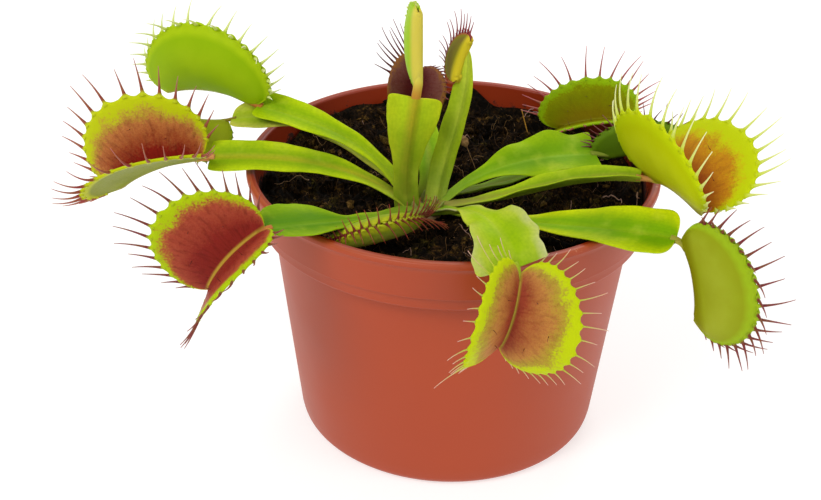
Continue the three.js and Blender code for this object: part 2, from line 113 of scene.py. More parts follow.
class Body:
    """Points in mm, faces and point values of one piece, gathered part by part."""

    def __init__(self):
        self.points, self.faces, self.values, self.count = [], [], {}, 0

    def add_rings(self, rings, caps, flip=False, **values):
        """Joins rings (rows, points, 3) by quads. caps lists the faces of one ring that close both ends.

        Faces look outwards for rings that run anticlockwise round their way; flip is for the others.
        """
        rows, count = rings.shape[:2]
        row, k = np.meshgrid(np.arange(rows - 1), np.arange(count), indexing="ij")
        a, b = row * count + k, row * count + (k + 1) % count
        quads = np.stack([a, b, b + count, a + count], -1).reshape(-1, 4).tolist()
        last = (rows - 1) * count
        ends = [cap[::-1] for cap in caps] + [[last + i for i in cap] for cap in caps]
        order = -1 if flip else 1
        self.faces += [[i + self.count for i in face[::order]] for face in quads + ends]
        self.points.append(rings.reshape(-1, 3))
        for name, value in values.items():
            self.values.setdefault(name, []).append(np.broadcast_to(value, (rows, count)).reshape(-1))
        self.count += rows * count

    def add_tube(self, path, radii, sides, across, flat=1.0, **values):
        """A skin round a path. across is its wide direction and flat the share of it left in the other."""
        along = unit(np.gradient(path, axis=0))
        wide = unit(across - along * np.sum(across * along, axis=-1, keepdims=True))
        thin = np.cross(along, wide)
        angle = np.linspace(0, 2 * math.pi, sides, endpoint=False)
        offset = (
            wide[:, None] * (radii[:, None] * np.cos(angle))[..., None]
            + thin[:, None] * ((radii * flat)[:, None] * np.sin(angle))[..., None]
        )
        self.add_rings(path[:, None] + offset, [list(range(sides))], **values)

    def make(self, name, material, replaces=()):
        """The object in metres, with its point values, as a piece of the frame."""
        mesh = bpy.data.meshes.new(name)
        mesh.from_pydata((np.concatenate(self.points) * MM).tolist(), [], self.faces)
        for value_name, parts in self.values.items():
            layer = mesh.attributes.new(value_name, "FLOAT", "POINT")
            layer.data.foreach_set("value", np.concatenate(parts).astype(np.float32))
        mesh.materials.append(material)
        mesh.shade_smooth()
        mesh.validate()
        piece = bpy.data.objects.new(name, mesh)
        bpy.context.scene.collection.objects.link(piece)
        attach(piece, "root")
        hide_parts(*replaces)
        return piece


EDGE_BULGE = 0.45


def leaf_rings(upper, lower, **values):
    """Rings over the upper face, round one edge and back under the lower face of a thin leaf.

    A value is the same for both faces, or a pair.
    """
    shape = upper.shape[:2]
    columns = shape[1]
    middle = (upper + lower) / 2
    edges = []
    for outer, inner in ((0, 1), (-1, -2)):
        thick = np.linalg.norm(upper[:, outer] - lower[:, outer], axis=-1, keepdims=True)
        away = unit(middle[:, outer] - middle[:, inner])
        edges.append((middle[:, outer] + away * thick * EDGE_BULGE)[:, None])
    rings = np.concatenate([upper, edges[1], lower[:, ::-1], edges[0]], axis=1)
    spread = {}
    for name, value in values.items():
        pair = value if isinstance(value, tuple) else (value, value)
        above, below = (np.broadcast_to(part, shape) for part in pair)
        spread[name] = np.concatenate([above, above[:, -1:], below[:, ::-1], below[:, :1]], axis=1)
    last = 2 * columns
    caps = [[k, k + 1, last - k - 1, last - k] for k in range(columns - 1)]
    caps += [[columns - 1, columns, columns + 1], [last, last + 1, 0]]
    return rings, caps, spread


def bezier(p0, p1, p2, p3, u):
    """Points and directions of a cubic curve. Before its start it runs on straight."""
    t = np.maximum(u, 0.0)[:, None]
    place = (1 - t) ** 3 * p0 + 3 * (1 - t) ** 2 * t * p1 + 3 * (1 - t) * t**2 * p2 + t**3 * p3
    slope = 3 * (1 - t) ** 2 * (p1 - p0) + 6 * (1 - t) * t * (p2 - p1) + 3 * t**2 * (p3 - p2)
    place = place + np.minimum(u, 0.0)[:, None] * 3 * (p1 - p0)
    return place, unit(slope)


# %% [markdown]
# ## Node materials
#
# One function adds a node, with its settings and what is plugged into it, and gives back its output. The
# kinds that every material needs have a short name each: a value of the mesh, a cloud of noise, a step of
# arithmetic, a change of range and a mix of colours. Colours are written as the hex values that one reads
# off a swatch, and turned to linear light once.

# %% Helpers for materials
def linear(swatch):
    channels = [int(swatch[i : i + 2], 16) / 255 for i in (1, 3, 5)]
    return [c / 12.92 if c <= 0.04045 else ((c + 0.055) / 1.055) ** 2.4 for c in channels] + [1.0]


def new_material(name):
    material = bpy.data.materials.new(name)
    material.use_nodes = True
    return material, material.node_tree, material.node_tree.nodes["Principled BSDF"]


def plug(tree, made, inputs):
    """Sets the sockets of a node to values, or links outputs of other nodes to them."""
    for key, value in inputs.items():
        if isinstance(value, bpy.types.NodeSocket):
            tree.links.new(value, made.inputs[key])
        else:
            made.inputs[key].default_value = value


def node(tree, kind, inputs=None, out=0, **settings):
    made = tree.nodes.new(kind)
    for name, value in settings.items():
        setattr(made, name, value)
    plug(tree, made, inputs or {})
    return made.outputs[out]


def own_place(tree):
    return node(tree, "ShaderNodeTexCoord", out=3)


def attributes(tree, *names):
    return [node(tree, "ShaderNodeAttribute", out=2, attribute_name=name) for name in names]


def cloudy(tree, place, scale, detail=2.0, **more):
    """Noise from 0 to 1. scale is how many clouds there are in a metre."""
    return node(tree, "ShaderNodeTexNoise", {"Vector": place, "Scale": scale, "Detail": detail} | more)


def maths(tree, operation, *values):
    return node(tree, "ShaderNodeMath", dict(enumerate(values)), operation=operation)


def ranged(tree, value, low, high, to_low=0.0, to_high=1.0, **settings):
    """Value from low to high becomes to_low to to_high, and stays there beyond them."""
    inputs = enumerate((value, low, high, to_low, to_high))
    return node(tree, "ShaderNodeMapRange", dict(inputs), **settings)


def mix(tree, share, first, second):
    """A mix of two colours, each an output of a node or a swatch."""
    first, second = (linear(colour) if isinstance(colour, str) else colour for colour in (first, second))
    return node(tree, "ShaderNodeMix", {0: share, 6: first, 7: second}, out=2, data_type="RGBA")


def stain(tree, colour, swatch, value, *steps):
    """Mixes a swatch over a colour, by a value that goes through ranged."""
    return mix(tree, ranged(tree, value, *steps), colour, swatch)


def ramp(tree, value, stops):
    """A colour ramp with stops of (place, swatch)."""
    made = tree.nodes.new("ShaderNodeValToRGB")
    plug(tree, made, {0: value})
    while len(made.color_ramp.elements) < len(stops):
        made.color_ramp.elements.new(0.5)
    for element, (place, swatch) in zip(made.color_ramp.elements, stops):
        element.position = place
        element.color = linear(swatch)
    return made.outputs[0]


def bumps(tree, height, strength, distance=0.0001):
    """Relief: distance is its height in metres."""
    return node(tree, "ShaderNodeBump", {"Strength": strength, "Distance": distance, "Height": height})


def flesh(weight, radius, depth):
    """Light inside living tissue: radius is its reach in red, green and blue, as shares of depth."""
    return {"Subsurface Weight": weight, "Subsurface Radius": radius, "Subsurface Scale": depth}


# %% [markdown]
# ## The thirteen leaves
#
# Each leaf is given by the root of its petiole and the tip of the blade, the directions in which the stalk
# `leaves` the crown and `arrives` at the tip, the widths of the blade, and its trap. Places are in mm, in
# the frame of the pot, and a direction is a bearing from +X and a climb, in degrees. Most are the numbers of
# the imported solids; where those had to stay clear of one another, a leaf is a little nearer its true place.
#
# - Petiole: `foot` is a bearing, distance and height on the stock, `tip` the end of the blade, and `pull`
#   how stiff the curve is at its ends; `half` gives half widths at the foot, the widest place and the tip,
#   and `swell` where the widening starts and ends; `fold` and `tilt` turn the wings, `square` blunts the
#   tip, and `faces` is the bearing of an upright blade's face; `wave` is the height of the edge's ripples,
#   `lag` how far one edge is behind the other, and `uneven` how ragged the outline is.
# - Lobes: `aim` and `opens` are the ways in which the midrib points and the mouth opens; `midrib` is its
#   length, `depth` that of a lobe and `reach` half the length of the margin; `spread` and `curl` are the
#   angle at which a lobe leaves the midrib and how far it then bends; `arch` bows the midrib, `skew` slides
#   the margin along it, and `left_lobe` gives spread, curl, skew and share of the depth of a lobe that
#   differs.
# - Neck: `neck` is its length and `stalk` its radius, `joins` where it leaves the blade if that isn't the
#   tip, and `buried` how far it runs on inside the blade; `shift` moves the whole trap.
# - Teeth: `teeth` is their number and `tooth` their length, `slim` a share of the usual thickness, `lean`
#   how far each row leans over the mouth and `rows` the share of the length that each row has; `first` is
#   the share of the margin where they begin, `first_tooth` and `last_tooth` their length at the ends;
#   `ragged` makes a few longer, `fan` lengthens those near the trap's tip, and `sweep` is how far the first
#   and the last ones turn to it.
#
# What a leaf doesn't say is as in `USUAL`. The look of a leaf is in a table of its own, further down.

# %% Dimensions of the plant
STOCK_X, STOCK_Y = -6.0, -9.0
GAP = 0.3

LEAVES = {
    "left_high": dict(
        foot=(160, 4.4, 57.6), tip=(-42.6, 5.4, 73.0), leaves=(160, 64), arrives=(158, 5),
        half=(1.8, 3.9, 2.0), swell=(0.3, 0.9), fold=14, tilt=-22, pull=0.36, square=4,
        aim=(156, -3), opens=(-130, 84), midrib=21.6, depth=16.6, reach=15.8, spread=41, curl=-80,
        arch=1.9, neck=1.0,
        teeth=17, tooth=5.2, lean=(0.3, 0.3), last_tooth=0.6,
    ),
    "left": dict(
        foot=(187, 4.4, 57.6), tip=(-52.3, -4.4, 65.0), leaves=(175, 40), arrives=(174, -6),
        half=(1.8, 4.0, 2.4), swell=(0.05, 0.9), fold=10, tilt=-28, square=5,
        aim=(170, -26), opens=(-135, 50), midrib=21, depth=17, reach=15, spread=25, curl=14, arch=1.6,
        neck=2.0,
        teeth=16, tooth=6.8, slim=1.15, lean=(0.12, 0.6),
    ),
    "left_low": dict(
        foot=(213, 4.4, 57.4), tip=(-36.8, -38.4, 66.6), leaves=(227, 6), arrives=(209, 7),
        half=(1.4, 5.9, 2.0), swell=(0.42, 0.8), fold=16, tilt=-9, square=4,
        aim=(183, -50), opens=(-127, 28), midrib=17.4, depth=16.0, reach=11.6, spread=42, curl=-3,
        arch=2.2, neck=0.3,
        teeth=17, tooth=6.8,
    ),
    "left_back": dict(
        foot=(135, 4.4, 57.6), tip=(-48.6, 6.4, 69.2), leaves=(150, 32), arrives=(168, -18),
        half=(1.2, 4.4, 1.0), swell=(0.6, 0.88), fold=12, tilt=-20,
        aim=(180, 6), opens=(250, -50), midrib=11, depth=9.4, reach=7.4, spread=36, curl=-68, arch=0.6,
        stalk=0.6, teeth=9, tooth=0.8,
    ),
    "on_soil": dict(
        foot=(240, 4.4, 57.2), tip=(-25.9, -29.8, 57.9), leaves=(224, 0), arrives=(238, 2),
        half=(1.2, 1.8, 0.9), swell=(0.1, 0.7), fold=10, tilt=0,
        aim=(31, -1), opens=(-59, 46), midrib=20.4, depth=9.0, reach=11.5, spread=62, curl=-116,
        arch=0.6, neck=0.6,
        teeth=24, tooth=3.0, slim=0.8, lean=(0.5, 0.5), first_tooth=0.12, fan=3.0, sweep=(0.0, 2.2),
    ),
    "front": dict(
        foot=(297, 4.4, 57.4), tip=(11.0, -47.6, 64.3), leaves=(301, 28), arrives=(296, -46),
        half=(1.6, 7.0, 5.0), swell=(0.2, 0.97), fold=10, tilt=8, square=5, faces=-82, wave=1.3,
        uneven=0.08,
        aim=(191, -78), opens=(-78, 0), midrib=15.5, depth=13.7, reach=12, spread=34, curl=33, arch=1.9,
        left_lobe=(34, 33, 0, 0.9),
        teeth=21, tooth=3.5, slim=0.5, ragged=1.8,
    ),
    "right_low": dict(
        foot=(326, 4.4, 57.4), tip=(42.6, -37.4, 65.2), leaves=(318, 7), arrives=(338, 0),
        half=(1.4, 6.8, 1.4), swell=(0.26, 0.94), fold=12, tilt=14, square=2.6,
        aim=(348, -76), opens=(-41, 12), midrib=17.8, depth=14.6, reach=13.8, spread=40, curl=-78,
        arch=0.9, neck=1.2,
        teeth=17, tooth=6.5, slim=1.1, first=0.16, last_tooth=0.45,
    ),
    "right_high": dict(
        foot=(353, 4.4, 57.4), tip=(38.4, -16.0, 67.6), leaves=(352, 8), arrives=(351, -2),
        half=(1.4, 3.0, 1.4), swell=(0.1, 0.6), fold=30, tilt=0,
        aim=(294, 2), opens=(38, 79), midrib=17.6, depth=17.4, reach=15.8, spread=30, curl=13, arch=0.7,
        neck=2.4, skew=-1.5, left_lobe=(58, -46, -1.5, 1.1),
        teeth=19, tooth=7.2, slim=1.15, lean=(0.3, 0.12), last_tooth=0.2,
    ),
    "right": dict(
        foot=(21, 4.4, 57.4), tip=(31.0, 2.0, 64.2), leaves=(20, 38), arrives=(17, -7),
        half=(1.5, 6.0, 3.4), swell=(0.15, 0.7), fold=10, tilt=19, square=8, wave=1.0, lag=0.2,
        aim=(5, 0), opens=(100, 82), midrib=15, depth=7.6, reach=11.5, spread=38, curl=-66, arch=0.8,
        neck=3.0,
        shift=(0.0, 0.0, -1.0), teeth=15, tooth=4.0, slim=0.7,
    ),
    "right_back": dict(
        foot=(50, 4.4, 57.4), tip=(24.2, 17.8, 59.4), leaves=(18, 5), arrives=(64, 30),
        half=(1.2, 2.4, 0.9), swell=(0.2, 0.85), fold=16, tilt=0,
        aim=(0, 10), opens=(-84, 66), midrib=13, depth=9.8, reach=11.8, spread=38, curl=10, arch=0.8,
        neck=3.6,
        teeth=18, tooth=7.0, first=0.18,
    ),
    "upright": dict(
        foot=(200, 4.2, 57.5), tip=(-8.4, -10.6, 82.4), leaves=(190, 84), arrives=(10, 82),
        half=(2.5, 5.7, 1.8), swell=(0.25, 0.92), fold=14, tilt=0, square=4, faces=-90,
        aim=(160, 89), opens=(106, 0), midrib=16.0, depth=8.6, reach=8.9, spread=43, curl=-86, arch=0.4,
        neck=2.2,
        stalk=1.25, buried=5.0, shift=(0.3, 0.0, 0.0), teeth=11, tooth=0.3,
    ),
    "tall": dict(
        foot=(42, 3.0, 57.7), tip=(1.7, -2.4, 89.6), leaves=(62, 76), arrives=(110, 76),
        half=(2.2, 2.5, 0.3), swell=(0.0, 0.3), fold=12, tilt=0, square=2.2, faces=-80,
        aim=(20, 70), opens=(120, -8), midrib=8.8, depth=5.2, reach=5.2, spread=40, curl=-66, arch=0.6,
        neck=0.8,
        stalk=1.1, joins=(1.0, -3.0, 83.2), buried=2.0, shift=(-0.95, -2.0, -0.3), teeth=16, tooth=5.2,
        lean=(-0.5, 0.2), rows=(1.0, 0.3), sweep=(0.9, 0.9),
    ),
    "dark": dict(
        foot=(90, 4.4, 57.4), tip=(-8.2, 14.0, 67.8), leaves=(70, 54), arrives=(128, 50),
        half=(1.6, 3.2, 1.4), swell=(0.1, 0.55), fold=14, tilt=0, faces=90,
        aim=(50, 68), opens=(-84, 18), midrib=8.8, depth=8.5, reach=6.0, spread=44, curl=14, arch=0.6,
        neck=1.6, skew=1.2, left_lobe=(44, 14, -0.6, 0.95),
        shift=(-0.7, 0.0, 0.0), teeth=11, tooth=8.0, rows=(0.2, 1.0), first=0.5,
    ),
}
USUAL = dict(
    square=2.4, pull=0.35, wave=0.0, lag=1.3, uneven=0.02, neck=1.4, skew=0.0, stalk=0.9, buried=1.0,
    shift=(0.0, 0.0, 0.0), slim=1.0, rows=(1.0, 1.0), first=0.1, first_tooth=1.0, last_tooth=1.0, fan=0.0,
    ragged=0.0, sweep=(0.0, 0.0),
)
LEAVES = {name: USUAL | {"joins": leaf["tip"]} | leaf for name, leaf in LEAVES.items()}
print(len(LEAVES), "leaves")

# %% [markdown]
# ## The look of each leaf
#
# Leaves of one plant differ: young traps are bright green, older ones blush red inside where they catch
# the light, and their teeth go from cream to dark red. `heart`, `middle`, `late` and `margin` are the
# colours of a lobe's inner face from the midrib outwards, and `blush` says at which shares of the way the
# heart ends and the margin begins. `outside`, `back` and `joint` are the outer face, the midrib and the
# neck, `root` and `tip` the ends of a tooth. `sheen` is a painted sheen, a paler band across the middle
# of the outer face; on a few traps, such as `tall`, it is a tint of their own there. `dark` streaks the
# inner face by `streak`, and `ridge`, `stripe` and `band` are half widths of the midrib's colour in mm,
# inside the trap, under it and on the blade; where the stripe under it is wide and dark, as on
# `right_low`, it is painted shade along the keel. Near the crown a blade turns to its `foot` colour up to
# `foot_end`: a duller, browner base, darker on some and partly painted shade, most of all on `upright`.
# `bleach` is how far a blade's edge has faded.

# %% Colours of the traps
def trap_look(swatches, **more):
    """The nine colours of a trap by name, and the rest that its materials take."""
    names = ("heart", "middle", "late", "margin", "outside", "back", "joint", "root", "tip")
    colours = dict(zip(names, swatches.split()))
    usual = dict(blush=(0.4, 0.8), dark="#5E1A12", streak=0.5, ridge=0.6, stripe=0.9)
    return colours | usual | {"sheen": colours["outside"]} | more


def blade_look(swatches, **more):
    colours = dict(zip(("centre", "edge", "rib", "foot"), swatches.split()))
    return colours | dict(band=1.1, foot_end=0.3, bleach=0.0) | more


TRAP_LOOKS = {
    "left_high": trap_look(
        "#9A4A2C #A9873A #A9A41C #A6C010 #88AC04 #9AA41C #B0702E #CCD870 #EEF0C0",
        slot="trap_lime", sheen="#A0BC14",
    ),
    "left": trap_look(
        "#8E2418 #BC7840 #B89A34 #BAC410 #727E2A #98903A #C48A50 #8A2A2A #B06C66",
        blush=(0.5, 0.84), slot="trap_tan", sheen="#8A9440",
    ),
    "left_low": trap_look(
        "#8A2A22 #A84C34 #AC6A30 #A8BE0C #87A636 #B89A34 #B8713C #74222A #8A444A",
        blush=(0.6, 0.88), slot="trap_red", ridge=0.9,
    ),
    "left_back": trap_look(
        "#7F4A22 #7F8A12 #84901A #8DA814 #A0AC1C #8C9420 #8A7A2C #7A8430 #8A9440",
        slot="trap_olive", sheen="#A8B428",
    ),
    "on_soil": trap_look(
        "#5A1416 #5E1618 #64201A #B4BA20 #96AE30 #7E9430 #A06A3A #661210 #8A2C2A",
        slot="trap_olive", sheen="#BCC850",
    ),
    "front": trap_look(
        "#94402A #B47C3C #AA982C #B8C60C #98B02C #B0A038 #A8BC30 #A8B42C #D4A09A",
        blush=(0.3, 0.86), slot="trap_tan", ridge=0.9, streak=0.35,
    ),
    # Its wide dark `back` stripe along the keel is painted shade, and its `sheen` band a painted highlight.
    "right_low": trap_look(
        "#8C3A2C #8C6A2A #98902A #98B41C #8E9414 #7A7A04 #A09A3C #74202A #8E3640",
        slot="trap_olive", sheen="#A0A82C", stripe=2.4,
    ),
    "right_high": trap_look(
        "#A8501C #C48C18 #C4BC10 #BECC0A #BCC408 #8C8A0C #C08A4A #C8D458 #EDEDB8",
        blush=(0.45, 0.82), slot="trap_amber", sheen="#D0D620", stripe=2.0, streak=0.25,
    ),
    # Its dark greens are painted shade: this trap lies behind `right_high`, in its shadow.
    "right": trap_look(
        "#6A3A1E #48600E #527010 #5E7C12 #4A640A #4A5E0A #7C8A2C #64242C #84444C",
        blush=(0.3, 0.8), slot="trap_green", sheen="#4E6A10",
    ),
    "right_back": trap_look(
        "#7A6C02 #7A8000 #848C00 #8CAE08 #7C9A1A #7A7A14 #8A8A2C #9A3A3E #C4707C",
        blush=(0.4, 0.88), slot="trap_olive", streak=0.25, dark="#5A4A04",
    ),
    "upright": trap_look(
        "#9A6A2C #A9A43A #A8B030 #A0C41C #9CC420 #D8C452 #C08A34 #A0B42C #C8C878",
        slot="trap_lime", stripe=1.6, sheen="#A8C83C",
    ),
    "tall": trap_look(
        "#8A4A2A #8A7A22 #8A9A22 #A4543A #7E8418 #D0BC28 #B8A42C #7E2A30 #8E3A44",
        slot="trap_olive", stripe=1.1, sheen="#70563A",
    ),
    "dark": trap_look(
        "#521C1C #74443C #7A4C40 #8A5A2C #6A6430 #5A3A28 #7C6A2C #5E1E28 #7E3A44",
        blush=(0.6, 0.94), slot="trap_maroon",
    ),
}
BLADE_LOOKS = {
    "left_high": blade_look("#92B40A #BAD00C #A2BC18 #9CAC2C"),
    "left": blade_look("#8CAA0E #B8CC12 #AEA822 #A0A434"),
    "left_low": blade_look("#5C8A0A #96B410 #7CA01C #84982C"),
    "left_back": blade_look("#A4B818 #D0CC50 #A8B838 #748A20"),
    "on_soil": blade_look("#769A1A #8EAC28 #8EA234 #8A8A3C"),
    "front": blade_look("#A0BE0A #B8C438 #B0C428 #849E1C", bleach=0.6),
    "right_low": blade_look("#7EAA08 #CCD80A #90B014 #80A01C"),
    "right_high": blade_look("#8CA81A #B0C81C #A2A434 #907A44"),
    "right": blade_look("#74A00E #9CBC10 #8EB224 #849A34"),
    "right_back": blade_look("#648A12 #84A41C #8A9434 #7C6A3C"),
    # Its dark `foot`, reaching far up the blade, is painted shade near the crown.
    "upright": blade_look("#D8E804 #ECF008 #C08412 #5A5C10", band=1.9, foot_end=0.85),
    "tall": blade_look("#CAD82A #CCD814 #CCD040 #AEB054"),
    "dark": blade_look("#7EA61A #9ABC1C #9AAA34 #8C9230"),
}
print("looks:", len(TRAP_LOOKS), "traps and", len(BLADE_LOOKS), "blades")

# %% [markdown]
# ## Petioles
#
# A petiole is a slim stalk that widens to a flat winged blade, folded up a little along its midrib. The
# blade is drawn row by row along a curve from the crown to the tip. The underside carries a round rib, the
# upper side a fine groove over it, and the blade thins towards its edges. The material reads how far a
# point is from the midrib, in mm and as a share of the width: the blade is deep green in the middle and
# yellow-green where light shines through its thin edges, with fine veins along it.

# %% Shape of a petiole
BLADE_ROWS, BLADE_COLUMNS = 90, 37
RIB_BELOW, EDGE_THICK, MIDDLE_THICK = 0.7, 0.32, 0.6
GROOVE, RIPPLE = 0.14, 0.16
FOOT_REACH = 0.09


def blade_centre(leaf, u):
    """The curve of a petiole, from inside the crown where u is below 0 to the tip of the blade at 1."""
    bearing, distance, height = leaf["foot"]
    foot = np.array([STOCK_X, STOCK_Y, height]) + distance * pointing(bearing, 0)
    tip = np.array(leaf["tip"])
    pull = leaf["pull"] * np.linalg.norm(tip - foot)
    leaves, arrives = pointing(*leaf["leaves"]), pointing(*leaf["arrives"])
    return bezier(foot, foot + pull * leaves, tip - pull * arrives, tip, u)


def half_width(leaf, u):
    """Half the width of the blade at u: it swells to its widest place and rounds off to the tip."""
    at_foot, widest, at_tip = leaf["half"]
    start, peak = leaf["swell"]
    power = leaf["square"]
    growing = lerp(at_foot, widest, smooth((u - start) / (peak - start)))
    left = np.clip(1 - np.clip((u - peak) / (1 - peak), 0, 1) ** power, 0, 1)
    return np.where(u < peak, growing, lerp(at_tip, widest, left ** (1 / power)))


def add_blade(body, leaf, seed):
    """Rows across the curve, wing to wing. j runs from -1 at one edge over the midrib to 1."""
    steps = np.linspace(0, 1, BLADE_ROWS)
    u = np.concatenate([np.linspace(-FOOT_REACH, 0, 8)[:-1], 1 - (1 - steps) ** 1.5])
    centre, along = blade_centre(leaf, u)
    if "faces" in leaf:
        heading = math.radians(leaf["faces"])
    else:
        heading = math.atan2(leaf["tip"][1] - STOCK_Y, leaf["tip"][0] - STOCK_X)
    across = np.array([-math.sin(heading), math.cos(heading), 0.0])
    side = unit(across - along * (along @ across)[:, None])
    tilt = np.radians(leaf["tilt"] * smooth(2 * u))[:, None]
    side = side * np.cos(tilt) + np.cross(along, side) * np.sin(tilt)
    up = np.cross(along, side)
    fold = math.radians(leaf["fold"]) * smooth(2 * u)[:, None]
    half = half_width(leaf, u)[:, None] * (1 + 0.5 * smooth(-u / FOOT_REACH))[:, None]

    j = np.linspace(-1, 1, BLADE_COLUMNS)[None, :]
    turn = u[:, None] + 0.3 * np.sign(j)
    uneven = np.sin(15 * turn + seed) + 0.7 * np.sin(26 * turn + 2 * seed) + 0.4 * np.sin(57 * turn)
    half = half * (1 + leaf["uneven"] * uneven * smooth(2 * u)[:, None])
    soft = np.sqrt(j**2 + 0.02) - 0.02**0.5 * (1 - np.abs(j))
    wave = leaf["wave"] * smooth((u - 0.3) / 0.4)[:, None]
    ripple = wave * j**2 * np.sin(6 * math.pi * u[:, None] + np.where(j > 0, leaf["lag"], 0.0))
    ripple = ripple + RIPPLE * j**2 * smooth(4 * u)[:, None] * np.sin(23 * u[:, None] + 2.0 * j + seed)
    middle = (
        centre[:, None]
        + side[:, None] * (j * half * np.cos(fold))[..., None]
        + up[:, None] * (soft * half * np.sin(fold) + ripple)[..., None]
    )
    rib = np.abs(j) * half
    thick = lerp(MIDDLE_THICK, EDGE_THICK, np.abs(j) ** 1.5 * np.ones_like(rib))
    groove = GROOVE * np.exp(-((rib / 0.45) ** 2)) * smooth(5 * u)[:, None]
    keel = RIB_BELOW * np.exp(-((rib / 0.9) ** 2))
    upper = middle + up[:, None] * (thick / 2 - groove)[..., None]
    lower = middle - up[:, None] * (thick / 2 + keel)[..., None]
    rings, caps, values = leaf_rings(upper, lower, along=u[:, None], across=j, rib=rib, under=(0.0, 1.0))
    body.add_rings(rings, caps, flip=True, **values)


# %% Material of a petiole
VEIN_PITCH = 0.75
LEAF_IOR = 1.42
WAXY = {"IOR": LEAF_IOR, "Specular IOR Level": 0.06}


def blade_material(name, look):
    """Living leaf: waxy skin over green flesh that lets a little light through."""
    material, tree, shader = new_material(name)
    along, across, rib, under = attributes(tree, "along", "across", "rib", "under")
    place = own_place(tree)
    cloud = cloudy(tree, place, 160.0, 3.0)
    fine = cloudy(tree, place, 1500.0)
    out_from_rib = maths(tree, "ABSOLUTE", across)
    drift = maths(tree, "MULTIPLY_ADD", cloud, 0.5, -0.25)
    edge_share = maths(tree, "ADD", out_from_rib, drift)
    edge_share = ranged(tree, edge_share, 0.25, 1.0, interpolation_type="SMOOTHSTEP")
    colour = mix(tree, edge_share, look["centre"], look["edge"])
    colour = stain(tree, colour, look["rib"], rib, 0.25, look["band"], 0.75, 0.0)
    # Towards the crown the blade turns to its `foot` colour: a duller, browner base, and partly painted
    # shade, darker near the crown.
    colour = stain(tree, colour, look["foot"], along, 0.0, look["foot_end"], 0.9, 0.0)
    below = maths(tree, "MULTIPLY", under, 0.35)
    colour = mix(tree, below, colour, "#94AE3A")
    vein_turn = maths(tree, "MULTIPLY_ADD", cloud, 1.2, rib)
    vein_turn = maths(tree, "MULTIPLY", vein_turn, 2 * math.pi / VEIN_PITCH)
    vein = maths(tree, "SINE", vein_turn)
    colour = stain(tree, colour, "#3C6A08", vein, -1.0, 1.0, 0.0, 0.04)
    # Large darker patches at random: uneven tone of the leaf, partly painted shade to give the blade depth.
    wide = cloudy(tree, place, 75.0, 3.0)
    colour = stain(tree, colour, "#4A7C06", wide, 0.42, 0.68, 0.0, 0.45)
    # Pale patches at random: a painted sheen, the light that the waxy skin reflects.
    colour = stain(tree, colour, "#B8C43C", cloud, 0.56, 0.7, 0.0, 0.35)
    bleach = ranged(tree, wide, 0.4, 0.56, 0.0, look["bleach"])
    near_edge = ranged(tree, out_from_rib, 0.7, 1.0)
    bleach = maths(tree, "MULTIPLY", bleach, near_edge)
    colour = mix(tree, bleach, colour, "#D0C8A4")
    colour = stain(tree, colour, "#5A8A08", fine, 0.35, 0.7, 0.0, 0.2)
    rough = ranged(tree, cloud, 0.3, 0.7, 0.42, 0.55)
    relief = maths(tree, "MULTIPLY_ADD", vein, 0.15, fine)
    skin = {"Base Color": colour, "Roughness": rough, "Normal": bumps(tree, relief, 0.2)}
    plug(tree, shader, skin | WAXY | flesh(0.25, (0.9, 1.0, 0.25), 0.0012))
    return material


# %% Make the petioles
for seed, (name, leaf) in enumerate(LEAVES.items()):
    body = Body()
    add_blade(body, leaf, seed)
    material = blade_material(f"leaf_blade_{name}", BLADE_LOOKS[name])
    body.make(f"blade_{name}", material, replaces=[f"petiole_{name}"])
print("petioles:", len(LEAVES), "with", len(body.faces), "faces each")

# %% [markdown]
# ## Traps
#
# A trap is two lobes hinged at a thick midrib. Seen flat, a lobe is kidney-shaped; in life it curves
# inwards or outwards as the trap closes or opens. The margin is a yellow-green band with a small hump under
# each tooth. One grid runs from the margin of one lobe over the midrib to the other margin, and is given
# thickness along its normals. The teeth (cilia) are slim tapered spines that stand on the humps, in the
# plane of the lobe, and lean over the mouth; the two rows mesh like fingers when the trap shuts. A neck
# that tapers joins the trap to its blade, and three trigger hairs stand inside each lobe.

# %% Shape of a lobe
LOBE_ROWS, LOBE_COLUMNS = 134, 21
MARGIN_CORNER = 0.85
TOOTH_LAST, TOOTH_PHASE = 0.93, {-1: 0.25, 1: 0.75}
HUMP_HEIGHT = 0.8
HINGE_THICK, LOBE_THICK, THINNEST, RIM_SWELL = 0.85, 0.5, 0.3, 0.22
LOBE_KEEL, CREASE = 0.5, 0.55
NECK_INSIDE, NECK_SIDES = 3.4, 14
FULL_MIDRIB = 18


def blunt(t):
    return np.sign(t) * np.abs(t) ** MARGIN_CORNER


def lobe_outline(leaf, u):
    """Where the margin and the midrib lie along the trap at u, and how deep the lobe is there."""
    chord = leaf["midrib"] / 2
    lowest = math.acos(min(0.999, chord / leaf["reach"]))
    sag = math.sin(lowest)
    turn = -lowest + u * (math.pi + 2 * lowest)
    seat = chord / (leaf["reach"] * blunt(math.cos(lowest)))
    fit = lerp(seat, 1.0, np.abs(np.sin(turn) + sag) / (1 + sag))
    margin = chord - leaf["reach"] * blunt(np.cos(turn)) * fit
    rib = leaf["midrib"] * (0.25 - 0.25 * np.cos(math.pi * u) + 0.5 * u)
    depth = np.maximum(0.0, leaf["depth"] / (1 + sag) * (sag + np.sin(turn)))
    return margin, rib, depth


def arched(leaf, t):
    """How high the midrib bows at the share t of its length."""
    return leaf["arch"] * 4 * t * (1 - t)


